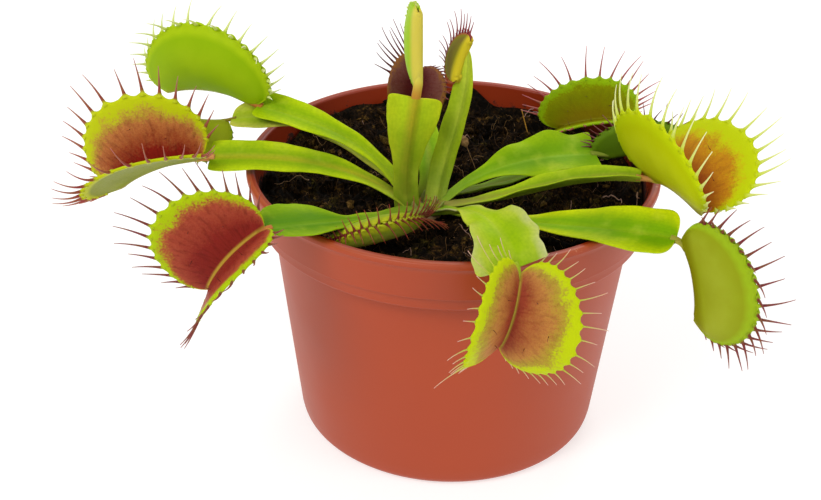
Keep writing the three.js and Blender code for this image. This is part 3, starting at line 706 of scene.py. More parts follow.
def lobe_point(leaf, side, u, v):
    """Middle surface of a lobe, in the trap's own axes: x along the midrib, z out of the mouth."""
    margin, rib, depth = lobe_outline(leaf, u)
    usual = (leaf["spread"], leaf["curl"], leaf["skew"], 1.0)
    spread, curl, skew, larger = (
        np.where(side < 0, left, right) for left, right in zip(leaf.get("left_lobe", usual), usual)
    )
    depth = depth * larger
    x = lerp(rib, margin, v) + skew * v
    spread, curl = np.radians(spread), np.radians(curl)
    out = depth * (np.cos(spread) - np.cos(spread + curl * v)) / curl
    up = depth * (np.sin(spread + curl * v) - np.sin(spread)) / curl
    t = np.clip(x / leaf["midrib"], -0.4, 1.4)
    return np.stack([x, side * out, up + arched(leaf, t)], -1)


def trap_axes(leaf):
    """Where the midrib starts, and the trap's own axes: x along it, z out of the mouth."""
    x = pointing(*leaf["aim"])
    opens = pointing(*leaf["opens"])
    z = unit(opens - x * (opens @ x))
    y = np.cross(z, x)
    start = np.array(leaf["joins"]) + pointing(*leaf["arrives"]) * (GAP + leaf["neck"])
    return start + np.array(leaf["shift"]), np.stack([x, y, z])


def tooth_places(leaf, side):
    """Share of the margin at which each tooth of one lobe stands; the other lobe's stand between them."""
    share = (np.arange(leaf["teeth"]) + TOOTH_PHASE[side]) / leaf["teeth"]
    return share, lerp(leaf["first"], TOOTH_LAST, share)


def humps(leaf, side, u):
    """How far past the outline the margin swells under each tooth, as a share of the lobe's depth."""
    first = leaf["first"]
    share = (u - first) / (TOOTH_LAST - first)
    phase = share * leaf["teeth"] - TOOTH_PHASE[side]
    crest = (0.5 + 0.5 * np.cos(2 * math.pi * phase)) ** 1.6
    inside = smooth(share * 12 + 0.5) * smooth((1 - share) * 12 + 0.5)
    return HUMP_HEIGHT * leaf["midrib"] / FULL_MIDRIB * crest * inside / leaf["depth"]


def add_lobes(body, leaf):
    """Both lobes in one sheet: s runs from -1 at one margin over the midrib to 1 at the other."""
    start, axes = trap_axes(leaf)
    u = (0.5 - 0.5 * np.cos(np.linspace(0.06, math.pi - 0.06, LOBE_ROWS)))[:, None]
    u = lerp(u, np.linspace(u[0], u[-1], LOBE_ROWS), 0.7)
    s = np.linspace(-1, 1, 2 * LOBE_COLUMNS - 1)[None, :]
    s = np.sign(s) * np.abs(s) ** 0.9
    side = np.where(s < 0, -1.0, 1.0) * np.ones_like(u)
    v = np.abs(s) * np.ones_like(u)
    hump = np.where(side < 0, humps(leaf, -1, u), humps(leaf, 1, u))
    v = v * (1 + hump * smooth((v - 0.82) / 0.18))
    middle = lobe_point(leaf, side, u, v)
    depth = lobe_outline(leaf, u)[2]
    rib = v * depth
    full = smooth(depth / (0.35 * leaf["depth"]))
    crease = CREASE * full
    middle[..., 2] += np.sqrt((rib * 0.8) ** 2 + crease**2) - rib * 0.8

    along_u = np.gradient(middle, axis=0)
    along_v = np.gradient(middle, axis=1)
    inward = unit(np.cross(along_u, along_v))
    thick = lerp(HINGE_THICK, LOBE_THICK, smooth(v / 0.5)) + RIM_SWELL * np.exp(-(((v - 0.93) / 0.05) ** 2))
    thick = thick * lerp(0.45, 1.0, full)
    keel = LOBE_KEEL * np.exp(-((rib / 1.1) ** 2)) * lerp(0.5, 1.0, full)
    upper = middle + inward * (thick / 2)[..., None]
    lower = middle - inward * (thick / 2 + keel)[..., None]
    # Off the midrib, no inner face comes through the plane between the lobes, and each keeps a thickness.
    clear = np.where(v > 0.12, 0.06 + 0.1 * v, -9.0)
    upper[..., 1] = side * np.maximum(side * upper[..., 1], clear)
    lower[..., 1] = side * np.maximum(side * lower[..., 1], clear + THINNEST)
    upper, lower = start + upper @ axes, start + lower @ axes
    rings, caps, values = leaf_rings(
        upper, lower, reach=np.abs(s), rib=rib, inner=(1.0, 0.0), along=u, joint=0.0
    )
    body.add_rings(rings, caps, flip=True, **values)


def add_neck(body, leaf):
    """The short stalk that bends from the tip of the blade into the midrib."""
    start, axes = trap_axes(leaf)
    arrives = pointing(*leaf["arrives"])
    tip = np.array(leaf["joins"])
    inside = NECK_INSIDE * min(1.0, leaf["midrib"] / FULL_MIDRIB)
    share = inside / leaf["midrib"]
    ahead = start + axes[0] * inside + axes[2] * (arched(leaf, share) - 0.15)
    reach = np.linalg.norm(ahead - tip)
    u = np.linspace(0, 1, 24)
    buried = leaf["buried"]
    path, _ = bezier(
        tip - arrives * buried, tip + arrives * reach * 0.4, ahead - axes[0] * reach * 0.4, ahead, u
    )
    radii = leaf["stalk"] * (1 - 0.2 * np.sin(math.pi * u)) * (1 - 0.85 * smooth((u - 0.6) / 0.4))
    if buried > 1:
        radii *= lerp(0.25, 1.0, smooth(u / 0.35))
    fading = (1 - smooth((u - 0.3) / 0.5))[:, None]
    lobe_values = dict(reach=0.0, rib=0.0, inner=0.0, along=0.0)
    body.add_tube(path, radii, NECK_SIDES, axes[1], flat=0.75, joint=fading, **lobe_values)


# %% Shape of the teeth and trigger hairs
TOOTH_SIDES, TOOTH_RINGS = 7, 13
TOOTH_ROOT, TOOTH_TIP, TOOTH_FLARE = 0.34, 0.06, 0.4
HAIR_ROOT, HAIR_TIP, HAIR_LENGTH = 0.09, 0.03, 1.3
TRIGGERS = ((0.36, 0.42), (0.64, 0.42), (0.5, 0.62))


def add_spine(body, base, ahead, across, bend, length, root, tip, sunk=0.8, flare=0.0):
    """A tapered spine from a little inside its root to its point. bend is how far the point moves over."""
    t = np.linspace(0, 1, TOOTH_RINGS) ** 1.15
    path = base - ahead * sunk + np.outer(t * (length + sunk), ahead) + np.outer(t**2.2, bend)
    radii = lerp(root, tip, t**0.75) + flare * np.exp(-t * (length + sunk) / 0.6)
    body.add_tube(path, radii, TOOTH_SIDES, across, flat=lerp(0.6, 1.0, smooth(t * 4)), reach=t[:, None])


def add_teeth(body, leaf, draw):
    """Both rows of teeth. They lean over the mouth, stray a little by chance and differ in length.

    Where the lobes curl in strongly, the teeth lean a little less, unless the leaf says how far.
    """
    start, axes = trap_axes(leaf)
    usual = 0.16 if leaf["curl"] < -30 else 0.2
    size = (0.6 + 0.4 * leaf["midrib"] / FULL_MIDRIB) * leaf["slim"]
    for side, lean, row in zip((-1, 1), leaf.get("lean", (usual, usual)), leaf["rows"]):
        for share, u in zip(*tooth_places(leaf, side)):
            crest = 1 + humps(leaf, side, np.array(u))
            margin = lobe_point(leaf, side, u, crest)
            ahead = unit(margin - lobe_point(leaf, side, u, crest - 0.12))
            edge = unit(lobe_point(leaf, side, u + 0.01, 1.0) - lobe_point(leaf, side, u - 0.01, 1.0))
            mouth = np.cross(edge, ahead)
            mouth = mouth * (-side if mouth[1] > 0 else side)
            length = row * leaf["tooth"] * (0.45 + 0.55 * math.sin(math.pi * share) ** 0.8)
            length *= draw.uniform(0.8, 1.15) * (1 + leaf["fan"] * share**4)
            length *= 1 + leaf["ragged"] * draw.random() ** 3
            length *= lerp(leaf["first_tooth"], 1.0, smooth(share / 0.4))
            length *= lerp(leaf["last_tooth"], 1.0, smooth((1 - share) / 0.3))
            bend = mouth * lean * (1 - 0.8 * share**4) * length + edge * draw.normal(0, 0.06) * length
            sweep = lerp(*leaf["sweep"], share**3)
            ahead = unit(ahead + edge * draw.normal(0, 0.05) + np.array([sweep, 0, 0]))
            add_spine(
                body, start + margin @ axes, ahead @ axes, edge @ axes, bend @ axes,
                length, TOOTH_ROOT * size, TOOTH_TIP, flare=TOOTH_FLARE * size,
            )


def add_triggers(body, leaf, draw):
    """Three stiff hairs on the inner face of each lobe; a touch on two of them shuts the trap."""
    start, axes = trap_axes(leaf)
    for side in (-1, 1):
        for u, v in TRIGGERS:
            seat = lobe_point(leaf, side, u, v)
            along_u = lobe_point(leaf, side, u + 0.01, v) - seat
            along_v = lobe_point(leaf, side, u, v + 0.01) - seat
            inward = unit(np.cross(along_u, along_v)) * side
            lean = unit(along_u) * draw.uniform(-0.5, 0.5) + unit(along_v) * 0.3
            length = min(HAIR_LENGTH, max(0.2, abs(seat[1]) * 1.2))
            add_spine(
                body, start + (seat + inward * 0.3) @ axes, inward @ axes, unit(along_u) @ axes,
                lean @ axes, length, HAIR_ROOT, HAIR_TIP, sunk=0.3,
            )


# %% Materials of a trap
def trap_material(name, look):
    """Inner face red with pigment glands, drawn as grains of 0.35 mm; outer face plain satin green."""
    material, tree, shader = new_material(name)
    reach, rib, inner, joint, along = attributes(tree, "reach", "rib", "inner", "joint", "along")
    place = own_place(tree)
    cloud = cloudy(tree, place, 220.0, 4.0)
    grain = cloudy(tree, place, 2200.0, 3.0)
    gland = node(tree, "ShaderNodeTexVoronoi", {"Vector": place, "Scale": 2800.0})

    drift = maths(tree, "MULTIPLY_ADD", cloud, 0.4, -0.2)
    rough_edge = maths(tree, "MULTIPLY_ADD", grain, 0.3, -0.15)
    shade = maths(tree, "ADD", reach, drift)
    shade = maths(tree, "ADD", shade, rough_edge)
    heart_ends, margin_starts = look["blush"]
    stops = [
        (heart_ends * 0.5, look["heart"]),
        (lerp(heart_ends, margin_starts, 0.5), look["middle"]),
        (margin_starts - 0.05, look["late"]),
        (margin_starts + 0.05, look["margin"]),
    ]
    face = ramp(tree, shade, stops)
    spots = ranged(tree, gland, 0.1, 0.5, 0.35, 0.0)
    field = ranged(tree, shade, margin_starts - 0.1, margin_starts, 1.0, 0.0)
    spots = maths(tree, "MULTIPLY", spots, field)
    face = mix(tree, spots, face, look["heart"])
    on_face = node(tree, "ShaderNodeCombineXYZ", {0: along, 1: reach})
    on_face = node(tree, "ShaderNodeVectorMath", {0: on_face, 1: (42.0, 5.0, 0.0)}, operation="MULTIPLY")
    streak = cloudy(tree, on_face, 1.0, 4.0)
    streak = ranged(tree, streak, 0.48, 0.72, 0.0, look["streak"])
    streak = maths(tree, "MULTIPLY", streak, field)
    face = mix(tree, streak, face, look["dark"])
    width = look["ridge"]
    face = stain(tree, face, look["back"], rib, width * 0.5, width * 1.3, 0.85, 0.0)

    skin = mix(tree, cloud, look["outside"], look["margin"])
    skin = mix(tree, 0.65, skin, look["outside"])
    # A paler band across the middle of the outer face, in the `sheen` colour: a painted sheen on most traps,
    # a tint of their own on a few such as `tall`.
    band = ramp(tree, reach, [(0.2, "#000000"), (0.5, "#FFFFFF"), (0.62, "#FFFFFF"), (0.84, "#000000")])
    band = maths(tree, "MULTIPLY", band, cloud)
    skin = mix(tree, band, skin, look["sheen"])
    skin = stain(tree, skin, look["margin"], reach, 0.84, 0.92, 0.0, 0.9)
    # The midrib's colour under the trap; the wide dark stripe of `right_low` is painted shade along its keel.
    width = look["stripe"]
    skin = stain(tree, skin, look["back"], rib, width * 0.6, width * 1.5, 0.9, 0.0)

    colour = mix(tree, inner, skin, face)
    colour = mix(tree, joint, colour, look["joint"])
    rough = ranged(tree, grain, 0.3, 0.7, 0.38, 0.56)
    pores = maths(tree, "MULTIPLY", gland, inner)
    relief = maths(tree, "MULTIPLY_ADD", grain, 0.6, pores)
    coat = {"Base Color": colour, "Roughness": rough, "Normal": bumps(tree, relief, 0.25)}
    plug(tree, shader, coat | WAXY | flesh(0.25, (1.0, 0.9, 0.25), 0.001))
    return material


def tooth_material(name, look):
    """A spine takes the margin's colour at its root and changes from its root's to its tip's colour."""
    material, tree, shader = new_material(name)
    (reach,) = attributes(tree, "reach")
    colour = ramp(tree, reach, [(0.09, look["margin"]), (0.18, look["root"]), (1.0, look["tip"])])
    grain = cloudy(tree, own_place(tree), 900.0)
    colour = stain(tree, colour, look["margin"], grain, 0.35, 0.75, 0.0, 0.15)
    horn = {"Base Color": colour, "Roughness": 0.48, "IOR": LEAF_IOR, "Specular IOR Level": 0.25}
    plug(tree, shader, horn | flesh(0.2, (1.0, 0.7, 0.4), 0.0005))
    return material


# %% Make the traps
draw = np.random.default_rng(7)
hair = Body()
for name, leaf in LEAVES.items():
    look = TRAP_LOOKS[name]
    lobes = Body()
    add_lobes(lobes, leaf)
    add_neck(lobes, leaf)
    lobes.make(f"lobes_{name}", trap_material(f"trap_skin_{name}", look), [f"trap_{name}"])
    teeth = Body()
    add_teeth(teeth, leaf, draw)
    teeth.make(f"teeth_{name}", tooth_material(f"trap_teeth_{name}", look))
    add_triggers(hair, leaf, draw)
hair_look = dict(margin="#5A2018", root="#4A1A14", tip="#6A322A")
hair.make("trigger_hairs", tooth_material("trigger_hair", hair_look))
print("traps:", len(LEAVES), "with", len(lobes.faces), "faces and", len(teeth.faces), "in their teeth")

# %% [markdown]
# ## Pot
#
# The pot is injection-moulded polypropylene in terracotta brown: thin walls, a plain collar that stiffens
# the top, and a narrow rolled lip. A lathe profile turned in 192 steps gives its round wall, and six drain
# holes are cut through the raised floor. Polypropylene is satin, with a faint orange-peel from the mould;
# its lip is rubbed a little paler, and peat dust clings to the inside above the soil.

# %% Pot profile
POT_SIDES = 192
pot_low, pot_high = (np.array(corner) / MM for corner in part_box("pot"))
HEIGHT = pot_high[2]
RIM = (pot_high[0] - pot_low[0]) / 2
LIP_HEIGHT, LIP_WIDTH, WALL = 1.4, 1.9, 1.2
COLLAR_FOOT, COLLAR_TOP, COLLAR_DEPTH = RIM - 1.6, RIM - 0.5, 12.0
BODY_TOP, BASE = RIM - 5.4, 34.2
FLOOR_RISE, RING_WIDTH, BOSS, FILLET = 2.0, 3.0, 9.0, 3.0
SHOULDER, STEP_ROUND, BEAD, LIP_UNDER, LIP_ROUND = 0.9, 0.6, 0.25, 0.35, 0.5
STEP = HEIGHT - COLLAR_DEPTH


def arc(centre, radius, start, end, steps):
    angle = np.radians(np.linspace(start, end, steps))
    return [(centre[0] + radius * math.cos(a), centre[1] + radius * math.sin(a)) for a in angle]


def straight(start, end, steps):
    return [tuple(lerp(np.array(start), np.array(end), t)) for t in np.linspace(0, 1, steps)]


def pot_profile():
    """Radius and height from the middle of the underside, up the outside, over the lip and down inside."""
    lip_low = HEIGHT - LIP_HEIGHT
    points = [(0.0, 0.0), (BOSS - 0.3, 0.0), (BOSS, 0.1), (BOSS + 1, FLOOR_RISE)]
    points += [(BASE - RING_WIDTH - 1, FLOOR_RISE), (BASE - RING_WIDTH, 0.1), (BASE - RING_WIDTH + 0.2, 0.0)]
    points += arc((BASE - FILLET, FILLET), FILLET, -88, -4, 10)
    points += straight((BASE + 0.15, FILLET + 0.4), (BODY_TOP, STEP - SHOULDER), 24)
    points += arc((BODY_TOP + SHOULDER, STEP - SHOULDER), SHOULDER, 180, 100, 5)
    points += arc((COLLAR_FOOT - 1.5, STEP + STEP_ROUND), STEP_ROUND, -80, 0, 5)
    points += [(COLLAR_FOOT - 0.8, STEP + 2.5), (COLLAR_FOOT - 0.65, STEP + 2.8)]
    points += arc((COLLAR_FOOT - BEAD, STEP + 3.2), BEAD, -50, 0, 4)
    points += straight((COLLAR_FOOT + 0.02, STEP + 3.4), (COLLAR_TOP, lip_low - 0.15), 8)
    points += arc((RIM - LIP_UNDER, lip_low + LIP_UNDER), LIP_UNDER, -80, 0, 5)
    points += arc((RIM - LIP_ROUND, HEIGHT - LIP_ROUND), LIP_ROUND, 0, 90, 6)
    points += arc((RIM - LIP_WIDTH + LIP_ROUND, HEIGHT - LIP_ROUND), LIP_ROUND, 90, 180, 6)
    points += straight((RIM - LIP_WIDTH - 0.05, HEIGHT - 0.9), (COLLAR_FOOT - WALL - 0.4, STEP + 1.4), 8)
    points += straight((BODY_TOP - WALL, STEP - 1.0), (BASE - WALL, FLOOR_RISE + WALL + 2), 6)
    points += [(BASE - WALL - 2, FLOOR_RISE + WALL), (0.0, FLOOR_RISE + WALL)]
    return np.array(points)


def turned(profile, sides):
    """Rings from a profile of (radius, height) that goes round the pot's axis."""
    angle = np.linspace(0, 2 * math.pi, sides, endpoint=False)
    radius, height = profile[:, :1], profile[:, 1:]
    return np.stack([radius * np.cos(angle), radius * np.sin(angle), height * np.ones((1, sides))], -1)


def plastic_material():
    """Moulded polypropylene: satin, with mould texture, a rubbed lip, peat dust inside and painted shade on
    the inner wall.
    """
    material, tree, shader = new_material("terracotta_polypropylene")
    place = own_place(tree)
    height = node(tree, "ShaderNodeSeparateXYZ", {0: place}, out=2)
    level = maths(tree, "MULTIPLY", height, 1 / MM)
    flat_place = node(tree, "ShaderNodeVectorMath", {0: place, 1: (1.0, 1.0, 0.0)}, operation="MULTIPLY")
    facing = node(tree, "ShaderNodeNewGeometry", out=1)
    outwards = node(tree, "ShaderNodeVectorMath", {0: facing, 1: flat_place}, out=1, operation="DOT_PRODUCT")
    inside = maths(tree, "LESS_THAN", outwards, 0.0)

    cloud = cloudy(tree, place, 45.0, 3.0)
    peel = cloudy(tree, place, 2600.0)
    dust = cloudy(tree, place, 320.0, 8.0, Roughness=0.7)
    colour = mix(tree, cloud, "#A33B14", "#AC421A")
    colour = stain(tree, colour, "#A84C2C", level, HEIGHT - 0.9, HEIGHT - 0.2, 0.0, 0.55)
    scuff = ranged(tree, dust, 0.62, 0.66, 0.0, 0.5)
    on_lip = ranged(tree, level, HEIGHT - 1.6, HEIGHT - 0.8)
    scuff = maths(tree, "MULTIPLY", scuff, on_lip)
    colour = mix(tree, scuff, colour, "#CF9478")
    # The inner wall takes a darker, deeper copy of the plastic's colour: painted shade inside the pot.
    inner = mix(tree, cloud, "#8A2604", "#972F06")
    colour = mix(tree, inside, colour, inner)
    low = ranged(tree, level, 55.5, 61.5, 0.36, 0.68)
    over = maths(tree, "SUBTRACT", dust, low)
    stuck = ranged(tree, over, 0.0, 0.06, 0.0, 0.9)
    stuck = maths(tree, "MULTIPLY", stuck, inside)
    colour = mix(tree, stuck, colour, "#1E110A")
    rough = ranged(tree, cloud, 0.3, 0.7, 0.4, 0.5)
    rough = maths(tree, "MULTIPLY_ADD", stuck, 0.4, rough)
    relief = maths(tree, "MULTIPLY_ADD", stuck, 4.0, peel)
    satin = {"Base Color": colour, "Roughness": rough, "IOR": 1.49, "Specular IOR Level": 0.35}
    plug(tree, shader, satin | {"Normal": bumps(tree, relief, 0.12)})
    return material


# %% Make the pot
DRAIN_COUNT, DRAIN_RADIUS, DRAIN_PLACE, DRAIN_SIDES = 6, 3.2, 20.0, 24
DRILL_LOW, DRILL_HIGH = -3.0, 8.0
SMALLEST_RING = 0.01


def drilled(piece):
    """Cuts the drain holes with one boolean and keeps the result as the pot's own mesh."""
    drill = Body()
    for k in range(DRAIN_COUNT):
        bearing = 2 * math.pi * k / DRAIN_COUNT
        hole = turned(np.array([(DRAIN_RADIUS, DRILL_LOW), (DRAIN_RADIUS, DRILL_HIGH)]), DRAIN_SIDES)
        hole = hole + np.array([DRAIN_PLACE * math.cos(bearing), DRAIN_PLACE * math.sin(bearing), 0.0])
        drill.add_rings(hole, [list(range(DRAIN_SIDES))])
    cutter_mesh = bpy.data.meshes.new("drill")
    cutter_mesh.from_pydata((np.concatenate(drill.points) * MM).tolist(), [], drill.faces)
    cutter = bpy.data.objects.new("drill", cutter_mesh)
    bpy.context.scene.collection.objects.link(cutter)
    cut = piece.modifiers.new("drain", "BOOLEAN")
    cut.object, cut.operation, cut.solver = cutter, "DIFFERENCE", "EXACT"
    graph = bpy.context.evaluated_depsgraph_get()
    result = bpy.data.meshes.new_from_object(piece.evaluated_get(graph))
    piece.modifiers.clear()
    piece.data = result
    bpy.data.objects.remove(cutter)


profile = pot_profile()
profile[0, 0] = profile[-1, 0] = SMALLEST_RING
pot = Body()
pot.add_rings(turned(profile, POT_SIDES), [list(range(POT_SIDES))])
pot_piece = pot.make("pot_shell", plastic_material(), ["pot"])
drilled(pot_piece)
print("pot:", len(pot_piece.data.polygons), "faces,", round(2 * RIM), "mm across,", round(HEIGHT), "mm high")

# %% [markdown]
# ## Peat
#
# The pot is filled with dark milled peat to a finger's breadth under the rim. It is a body of crumbs, so
# its top is first heaved by fractal noise, then strewn with 1700 loose crumbs that sit half sunk in it, and
# with the fine pale rootlets and sphagnum fibres that peat holds.

# %% Peat body
SOIL_LEVEL, SOIL_RADIUS, WALL_INSIDE = 55.4, 41.75, 41.9
SOIL_SIDE = ((41.6, 54.0), (41.1, 52.6), (38.0, 50.3), (32.7, 6.0), (31.5, 3.6), (0.02, 3.6))
SOIL_RINGS, SOIL_SIDES = 150, 330


def soil_height(x, y):
    """Low waves, a gentle rise towards the back and heaps along the wall, most of all at the back."""
    waves = 0.62 * np.sin(x / 3.2 + 1.1) * np.cos(y / 3.7 - 0.4) + 0.38 * np.sin(x / 1.9 - y / 2.1)
    bearing, radius = np.degrees(np.arctan2(y, x)), np.hypot(x, y)
    heap = 3.4 * np.exp(-(((bearing - 84) / 8) ** 2)) + 2.6 * np.exp(-(((bearing - 112) / 26) ** 2))
    heap = heap + 1.2 + 0.8 * np.sin(bearing / 7) + 0.6 * np.sin(bearing / 3.1)
    return SOIL_LEVEL + 1.6 * smooth((y + 5) / 40) + 0.7 * waves + heap * smooth((radius - 33) / 9)


def crumbly(x, y):
    """Clods of 4 mm with cracks between them, and grains down to a third of a millimetre, in mm."""
    clods = 1.5 * noise.fractal(Vector((x / 4.0, y / 4.0, 0.3)), 0.7, 2.1, 5)
    crack = min(0.3, abs(noise.noise(Vector((x / 2.4, y / 2.4, 5.0)))))
    return clods + 4.0 * crack - 0.9 + 0.35 * noise.noise(Vector((x * 1.7, y * 1.7, 2.0)))


def soil_rings():
    """The crumbly top, calm at the crown and at the wall, then down the side to the floor of the pot."""
    radii = np.linspace(0.02, 1.0, SOIL_RINGS) ** 0.75 * SOIL_RADIUS
    angle = np.linspace(0, 2 * math.pi, SOIL_SIDES, endpoint=False)
    x, y = radii[:, None] * np.cos(angle), radii[:, None] * np.sin(angle)
    heave = np.array([[crumbly(a, b) for a, b in zip(*row)] for row in zip(x, y)])
    heave *= smooth((WALL_INSIDE - radii) / 1.5)[:, None]
    away = smooth((np.hypot(x - STOCK_X, y - STOCK_Y) - 3.5) / 4.0)
    top = np.stack([x, y, soil_height(x, y) + heave * lerp(0.3, 1.0, away)], -1)
    return np.concatenate([top, turned(np.array(SOIL_SIDE), SOIL_SIDES)])


def peat_material(name, swatches, grain_mm):
    """Milled peat: fibrous, matte, nearly black when moist, with paler dry crumbs and a little moss."""
    material, tree, shader = new_material(name)
    place = own_place(tree)
    (tint,) = attributes(tree, "tint")
    cloud = cloudy(tree, place, 260.0, 5.0)
    grain = cloudy(tree, place, 1 / (grain_mm * MM), 6.0)
    both = maths(tree, "MULTIPLY", cloud, grain)
    dry = ranged(tree, both, 0.2, 0.45, 0.0, 0.75)
    dry = maths(tree, "ADD", dry, tint)
    colour = ramp(tree, dry, list(zip((0.0, 0.35, 0.7, 1.0), swatches)))
    patch = cloudy(tree, place, 120.0)
    moss = ranged(tree, patch, 0.55, 0.7, 0.0, 0.9)
    moss = maths(tree, "MULTIPLY", moss, dry)
    colour = mix(tree, moss, colour, "#565414")
    matte = {"Base Color": colour, "Roughness": 0.9, "Specular IOR Level": 0.08}
    plug(tree, shader, matte | {"Normal": bumps(tree, grain, 0.9, 0.0005)})
    return material


peat = Body()
peat.add_rings(soil_rings(), [list(range(SOIL_SIDES))], flip=True)
peat_look = peat_material("milled_peat", ("#0A0603", "#26180A", "#5A4016", "#7E602C"), 0.7)
peat.make("peat", peat_look, ["soil"])
print("peat:", len(peat.faces), "faces")

# %% Loose crumbs
CRUMBS, CRUMB_RINGS, CRUMB_SIDES = 1700, 5, 8
CRUMB_REACH, CROWN_CLEAR = 39.5, 5.5


def on_peat(x, y):
    return np.array([x, y, float(soil_height(x, y)) + crumbly(x, y)])


def soil_point(draw):
    """A place on the peat that isn't under the crown."""
    while True:
        radius, bearing = CRUMB_REACH * math.sqrt(draw.random()), 2 * math.pi * draw.random()
        x, y = radius * math.cos(bearing), radius * math.sin(bearing)
        if math.hypot(x - STOCK_X, y - STOCK_Y) > CROWN_CLEAR:
            return on_peat(x, y)


draw = np.random.default_rng(21)
crumbs = Body()
angle = np.linspace(0.15, math.pi - 0.15, CRUMB_RINGS)
ball = turned(np.stack([np.sin(angle), -np.cos(angle)], -1), CRUMB_SIDES)
for _ in range(CRUMBS):
    size = 0.25 + 0.9 * draw.random() ** 3
    stretch = np.array([draw.uniform(0.6, 1.9), draw.uniform(0.5, 1.1), draw.uniform(0.3, 0.8)])
    lumpy = ball * (1 + draw.normal(0, 0.28, ball.shape[:2]))[..., None]
    turn = np.array(Matrix.Rotation(draw.uniform(0, 6.3), 3, Vector(draw.normal(0, 1, 3)).normalized()))
    where = soil_point(draw) + np.array([0, 0, size * 0.25])
    tint = 0.55 * draw.random() ** 2.5
    crumbs.add_rings((lumpy * stretch * size) @ turn + where, [list(range(CRUMB_SIDES))], tint=tint)
crumb_look = peat_material("peat_crumb", ("#0A0603", "#26180A", "#5A421A", "#866638"), 0.4)
crumbs.make("peat_crumbs", crumb_look)
print("crumbs:", CRUMBS)

# %% [markdown]
# Rootlets are thin tubes along wandering curves. Most lie on the peat, a few stand up from it. Each keeps
# one random tint, from straw to the dull pink of old roots. Eleven longer ones are given by the place where
# they start, their length, radius and tint, and three straight straws by their two ends, radius and tint.

# %% Rootlets and fibres
ROOTLETS, ROOT_REACH = 800, 40.5
LONG_ROOTS = (
    (22.5, 34.5, 6, 0.17, 0.84), (23.5, 32.0, 6, 0.15, 0.82), (21.5, 33.0, 5, 0.14, 0.86),
    (24.0, 33.5, 5, 0.16, 0.8), (5.5, 26.5, 8, 0.14, 0.8), (34, 13, 12, 0.2, 0.78), (38, 6, 11, 0.18, 0.8),
    (41, -3, 12, 0.2, 0.76), (32, -4, 9, 0.18, 0.8), (-32, 4, 10, 0.16, 0.74), (-20, -34, 9, 0.15, 0.76),
)
STRAWS = (
    ((18.4, 26.0, 57.0), (17.0, 32.0, 61.0), 0.2, 1.0),
    ((3.5, 16.1, 58.8), (5.4, 9.0, 56.6), 0.13, 0.5),
    ((-7.0, -38.6, 57.6), (3.0, -39.4, 57.8), 0.25, 1.0),
)


def add_rootlet(body, draw, start, length, radius, tint, rise):
    """A thin tube that wanders over the peat; rise is how far its middle stands up from it."""
    steps = 18
    heading = draw.uniform(0, 2 * math.pi)
    point, path = np.array(start), []
    turn = draw.normal(0, 0.12)
    for k in range(steps):
        path.append(point.copy())
        heading += turn + draw.normal(0, 0.16)
        point[:2] += length / steps * np.array([math.cos(heading), math.sin(heading)])
        if np.hypot(*point[:2]) > ROOT_REACH:
            point[:2] *= ROOT_REACH / np.hypot(*point[:2])
        ground = on_peat(*point[:2])[2]
        arch = rise * math.sin(math.pi * (k + 1) / steps)
        point[2] = lerp(point[2], ground + radius * 1.2 + arch, 0.6)
    body.add_tube(np.array(path), radius * np.linspace(1.0, 0.45, steps), 4, UPWARDS, tint=tint)


def add_bud(body):
    """A dried bud that leans on the peat behind the crown, ringed and pointed at both ends."""
    t = np.linspace(0, 1, 16)
    path = np.array([2.6, 18.6, 60.2]) + np.outer(t, [0.9, -2.6, -1.6])
    radii = 0.95 * np.sin(math.pi * np.clip(t, 0.04, 0.97)) ** 0.6 * (1 + 0.12 * np.sin(19 * t))
    body.add_tube(path, radii, 10, np.array([1.0, 0.0, 0.0]), tint=0.62)


def rootlet_material():
    """Dry plant fibre, straw to pinkish brown, matte."""
    material, tree, shader = new_material("rootlet_fibre")
    (tint,) = attributes(tree, "tint")
    stops = [(0.0, "#34200F"), (0.4, "#6A4A22"), (0.7, "#A07C4C"), (0.85, "#C49A90"), (1.0, "#C08A2C")]
    colour = ramp(tree, tint, stops)
    grain = cloudy(tree, own_place(tree), 1200.0)
    colour = stain(tree, colour, "#2E1D12", grain, 0.4, 0.7, 0.0, 0.5)
    plug(tree, shader, {"Base Color": colour, "Roughness": 0.8, "Specular IOR Level": 0.2})
    return material


draw = np.random.default_rng(5)
roots = Body()
for _ in range(ROOTLETS):
    length = 2 + 9 * draw.random() ** 1.6
    rise = 1.3 * draw.random() ** 3
    tint = 0.8 * draw.random() ** 3
    add_rootlet(roots, draw, soil_point(draw), length, draw.uniform(0.03, 0.1), tint, rise)
for x, y, length, radius, tint in LONG_ROOTS:
    add_rootlet(roots, draw, on_peat(x, y) + np.array([0, 0, 0.4]), length, radius, tint, 1.6)
for foot, top, radius, tint in STRAWS:
    across = np.array([0.0, 0.3, 1.0])
    roots.add_tube(np.linspace(foot, top, 12), np.full(12, radius), 6, across, flat=0.5, tint=tint)
add_bud(roots)
roots.make("rootlets", rootlet_material())
print("rootlets:", ROOTLETS + len(LONG_ROOTS), "with", len(STRAWS), "straws and one dried bud")

# %% [markdown]
# ## Crown
#
# The petioles grow from a short stock whose top is hidden by their pale, overlapping bases. Between them
# stand thirteen young scales. Each scale is a narrow cone pressed flat, pinkish brown at the foot and
# green towards its point.

# %% Crown
CROWN_SCALES, SCALE_FOOT = 13, 54.6
STOCK = ((0.05, 46.0), (3.2, 46.2), (4.0, 49.0), (4.0, 55.3), (3.4, 56.2), (1.8, 56.8), (0.05, 57.0))


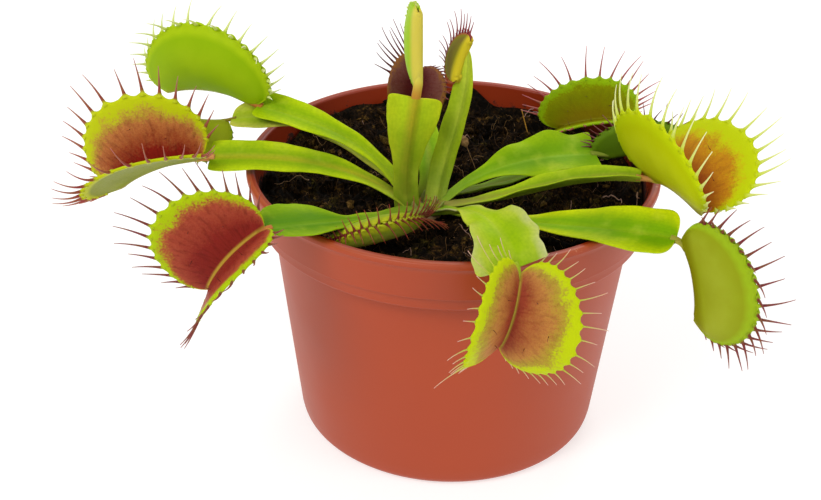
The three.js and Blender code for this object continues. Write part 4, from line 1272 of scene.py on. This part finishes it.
def crown_material():
    """Pale blanched leaf base, pinkish where it meets the soil."""
    material, tree, shader = new_material("blanched_leaf_base")
    (reach,) = attributes(tree, "reach")
    colour = ramp(tree, reach, [(0.0, "#6A4030"), (0.35, "#9A9A50"), (1.0, "#8DA83C")])
    colour = mix(tree, cloudy(tree, own_place(tree), 500.0, 3.0), colour, "#7A5A3C")
    plug(tree, shader, {"Base Color": colour, "Roughness": 0.5} | flesh(0.2, (1.0, 0.9, 0.4), 0.001))
    return material


def add_scale(body, bearing, distance, height, width, lean):
    out = pointing(bearing, 0)
    t = np.linspace(0, 1, 12)
    base = np.array([STOCK_X, STOCK_Y, SCALE_FOOT]) + out * distance
    path = base + np.outer(t * height, UPWARDS) + np.outer(t**1.5 * lean, out)
    radii = width * (1 - t**2.2) ** 0.8 + 0.05
    body.add_tube(path, radii, 12, np.cross(UPWARDS, out), flat=0.45, reach=t[:, None])


draw = np.random.default_rng(3)
crown = Body()
for k in range(CROWN_SCALES):
    add_scale(
        crown, 360 * k / CROWN_SCALES + draw.uniform(-9, 9), draw.uniform(1.2, 3.6), draw.uniform(3.0, 5.2),
        draw.uniform(0.9, 1.5), draw.uniform(0.4, 2.0),
    )
rings = turned(np.array(STOCK), 32) + np.array([STOCK_X, STOCK_Y, 0.0])
crown.add_rings(rings, [list(range(32))], reach=0.1)
crown.make("crown", crown_material(), ["rootstock"])
print("crown scales:", CROWN_SCALES)

# %% [markdown]
# ## Light and floor
#
# A pale floor and a white surround make the soft, even light of a product table: one large key light from
# the upper left in front, a weaker one from the right and one from behind that edges the pot and leaves.

# %% Floor and lights
SURROUND, FLOOR_GLOW = 0.54, 0.6
WHITE = (1.0, 1.0, 1.0, 1.0)

floor_mesh = bpy.data.meshes.new("floor")
floor_mesh.from_pydata([(-2, -2, 0), (2, -2, 0), (2, 3, 0), (-2, 3, 0)], [], [(0, 1, 2, 3)])
floor = bpy.data.objects.new("floor", floor_mesh)
bpy.context.scene.collection.objects.link(floor)
paper, tree, shader = new_material("pale_floor")
colour = mix(tree, cloudy(tree, own_place(tree), 900.0), "#BDBDBB", "#C3C3C2")
plug(tree, shader, {"Base Color": colour, "Roughness": 0.8})
plug(tree, shader, {"Emission Color": WHITE, "Emission Strength": FLOOR_GLOW})
floor_mesh.materials.append(paper)

world = bpy.data.worlds.new("studio")
bpy.context.scene.world = world
world.use_nodes = True
plug(world.node_tree, world.node_tree.nodes["Background"], {"Color": WHITE, "Strength": SURROUND})


def area_light(name, place, target, size, power):
    light = bpy.data.lights.new(name, "AREA")
    light.shape, light.size, light.energy = "DISK", size, power
    lamp = bpy.data.objects.new(name, light)
    bpy.context.scene.collection.objects.link(lamp)
    lamp.location = place
    lamp.rotation_euler = (Vector(target) - Vector(place)).to_track_quat("-Z", "Y").to_euler()


area_light("key", (-0.45, -0.55, 0.75), (0, 0, 0.05), 0.45, 4.8)
area_light("fill", (0.7, -0.35, 0.45), (0, 0, 0.05), 0.5, 1.5)
area_light("back", (0.2, 0.7, 0.7), (0, 0, 0.06), 0.5, 2.4)
bpy.context.scene.view_settings.view_transform = "Standard"

# %% The end
bpy.context.view_layer.update()
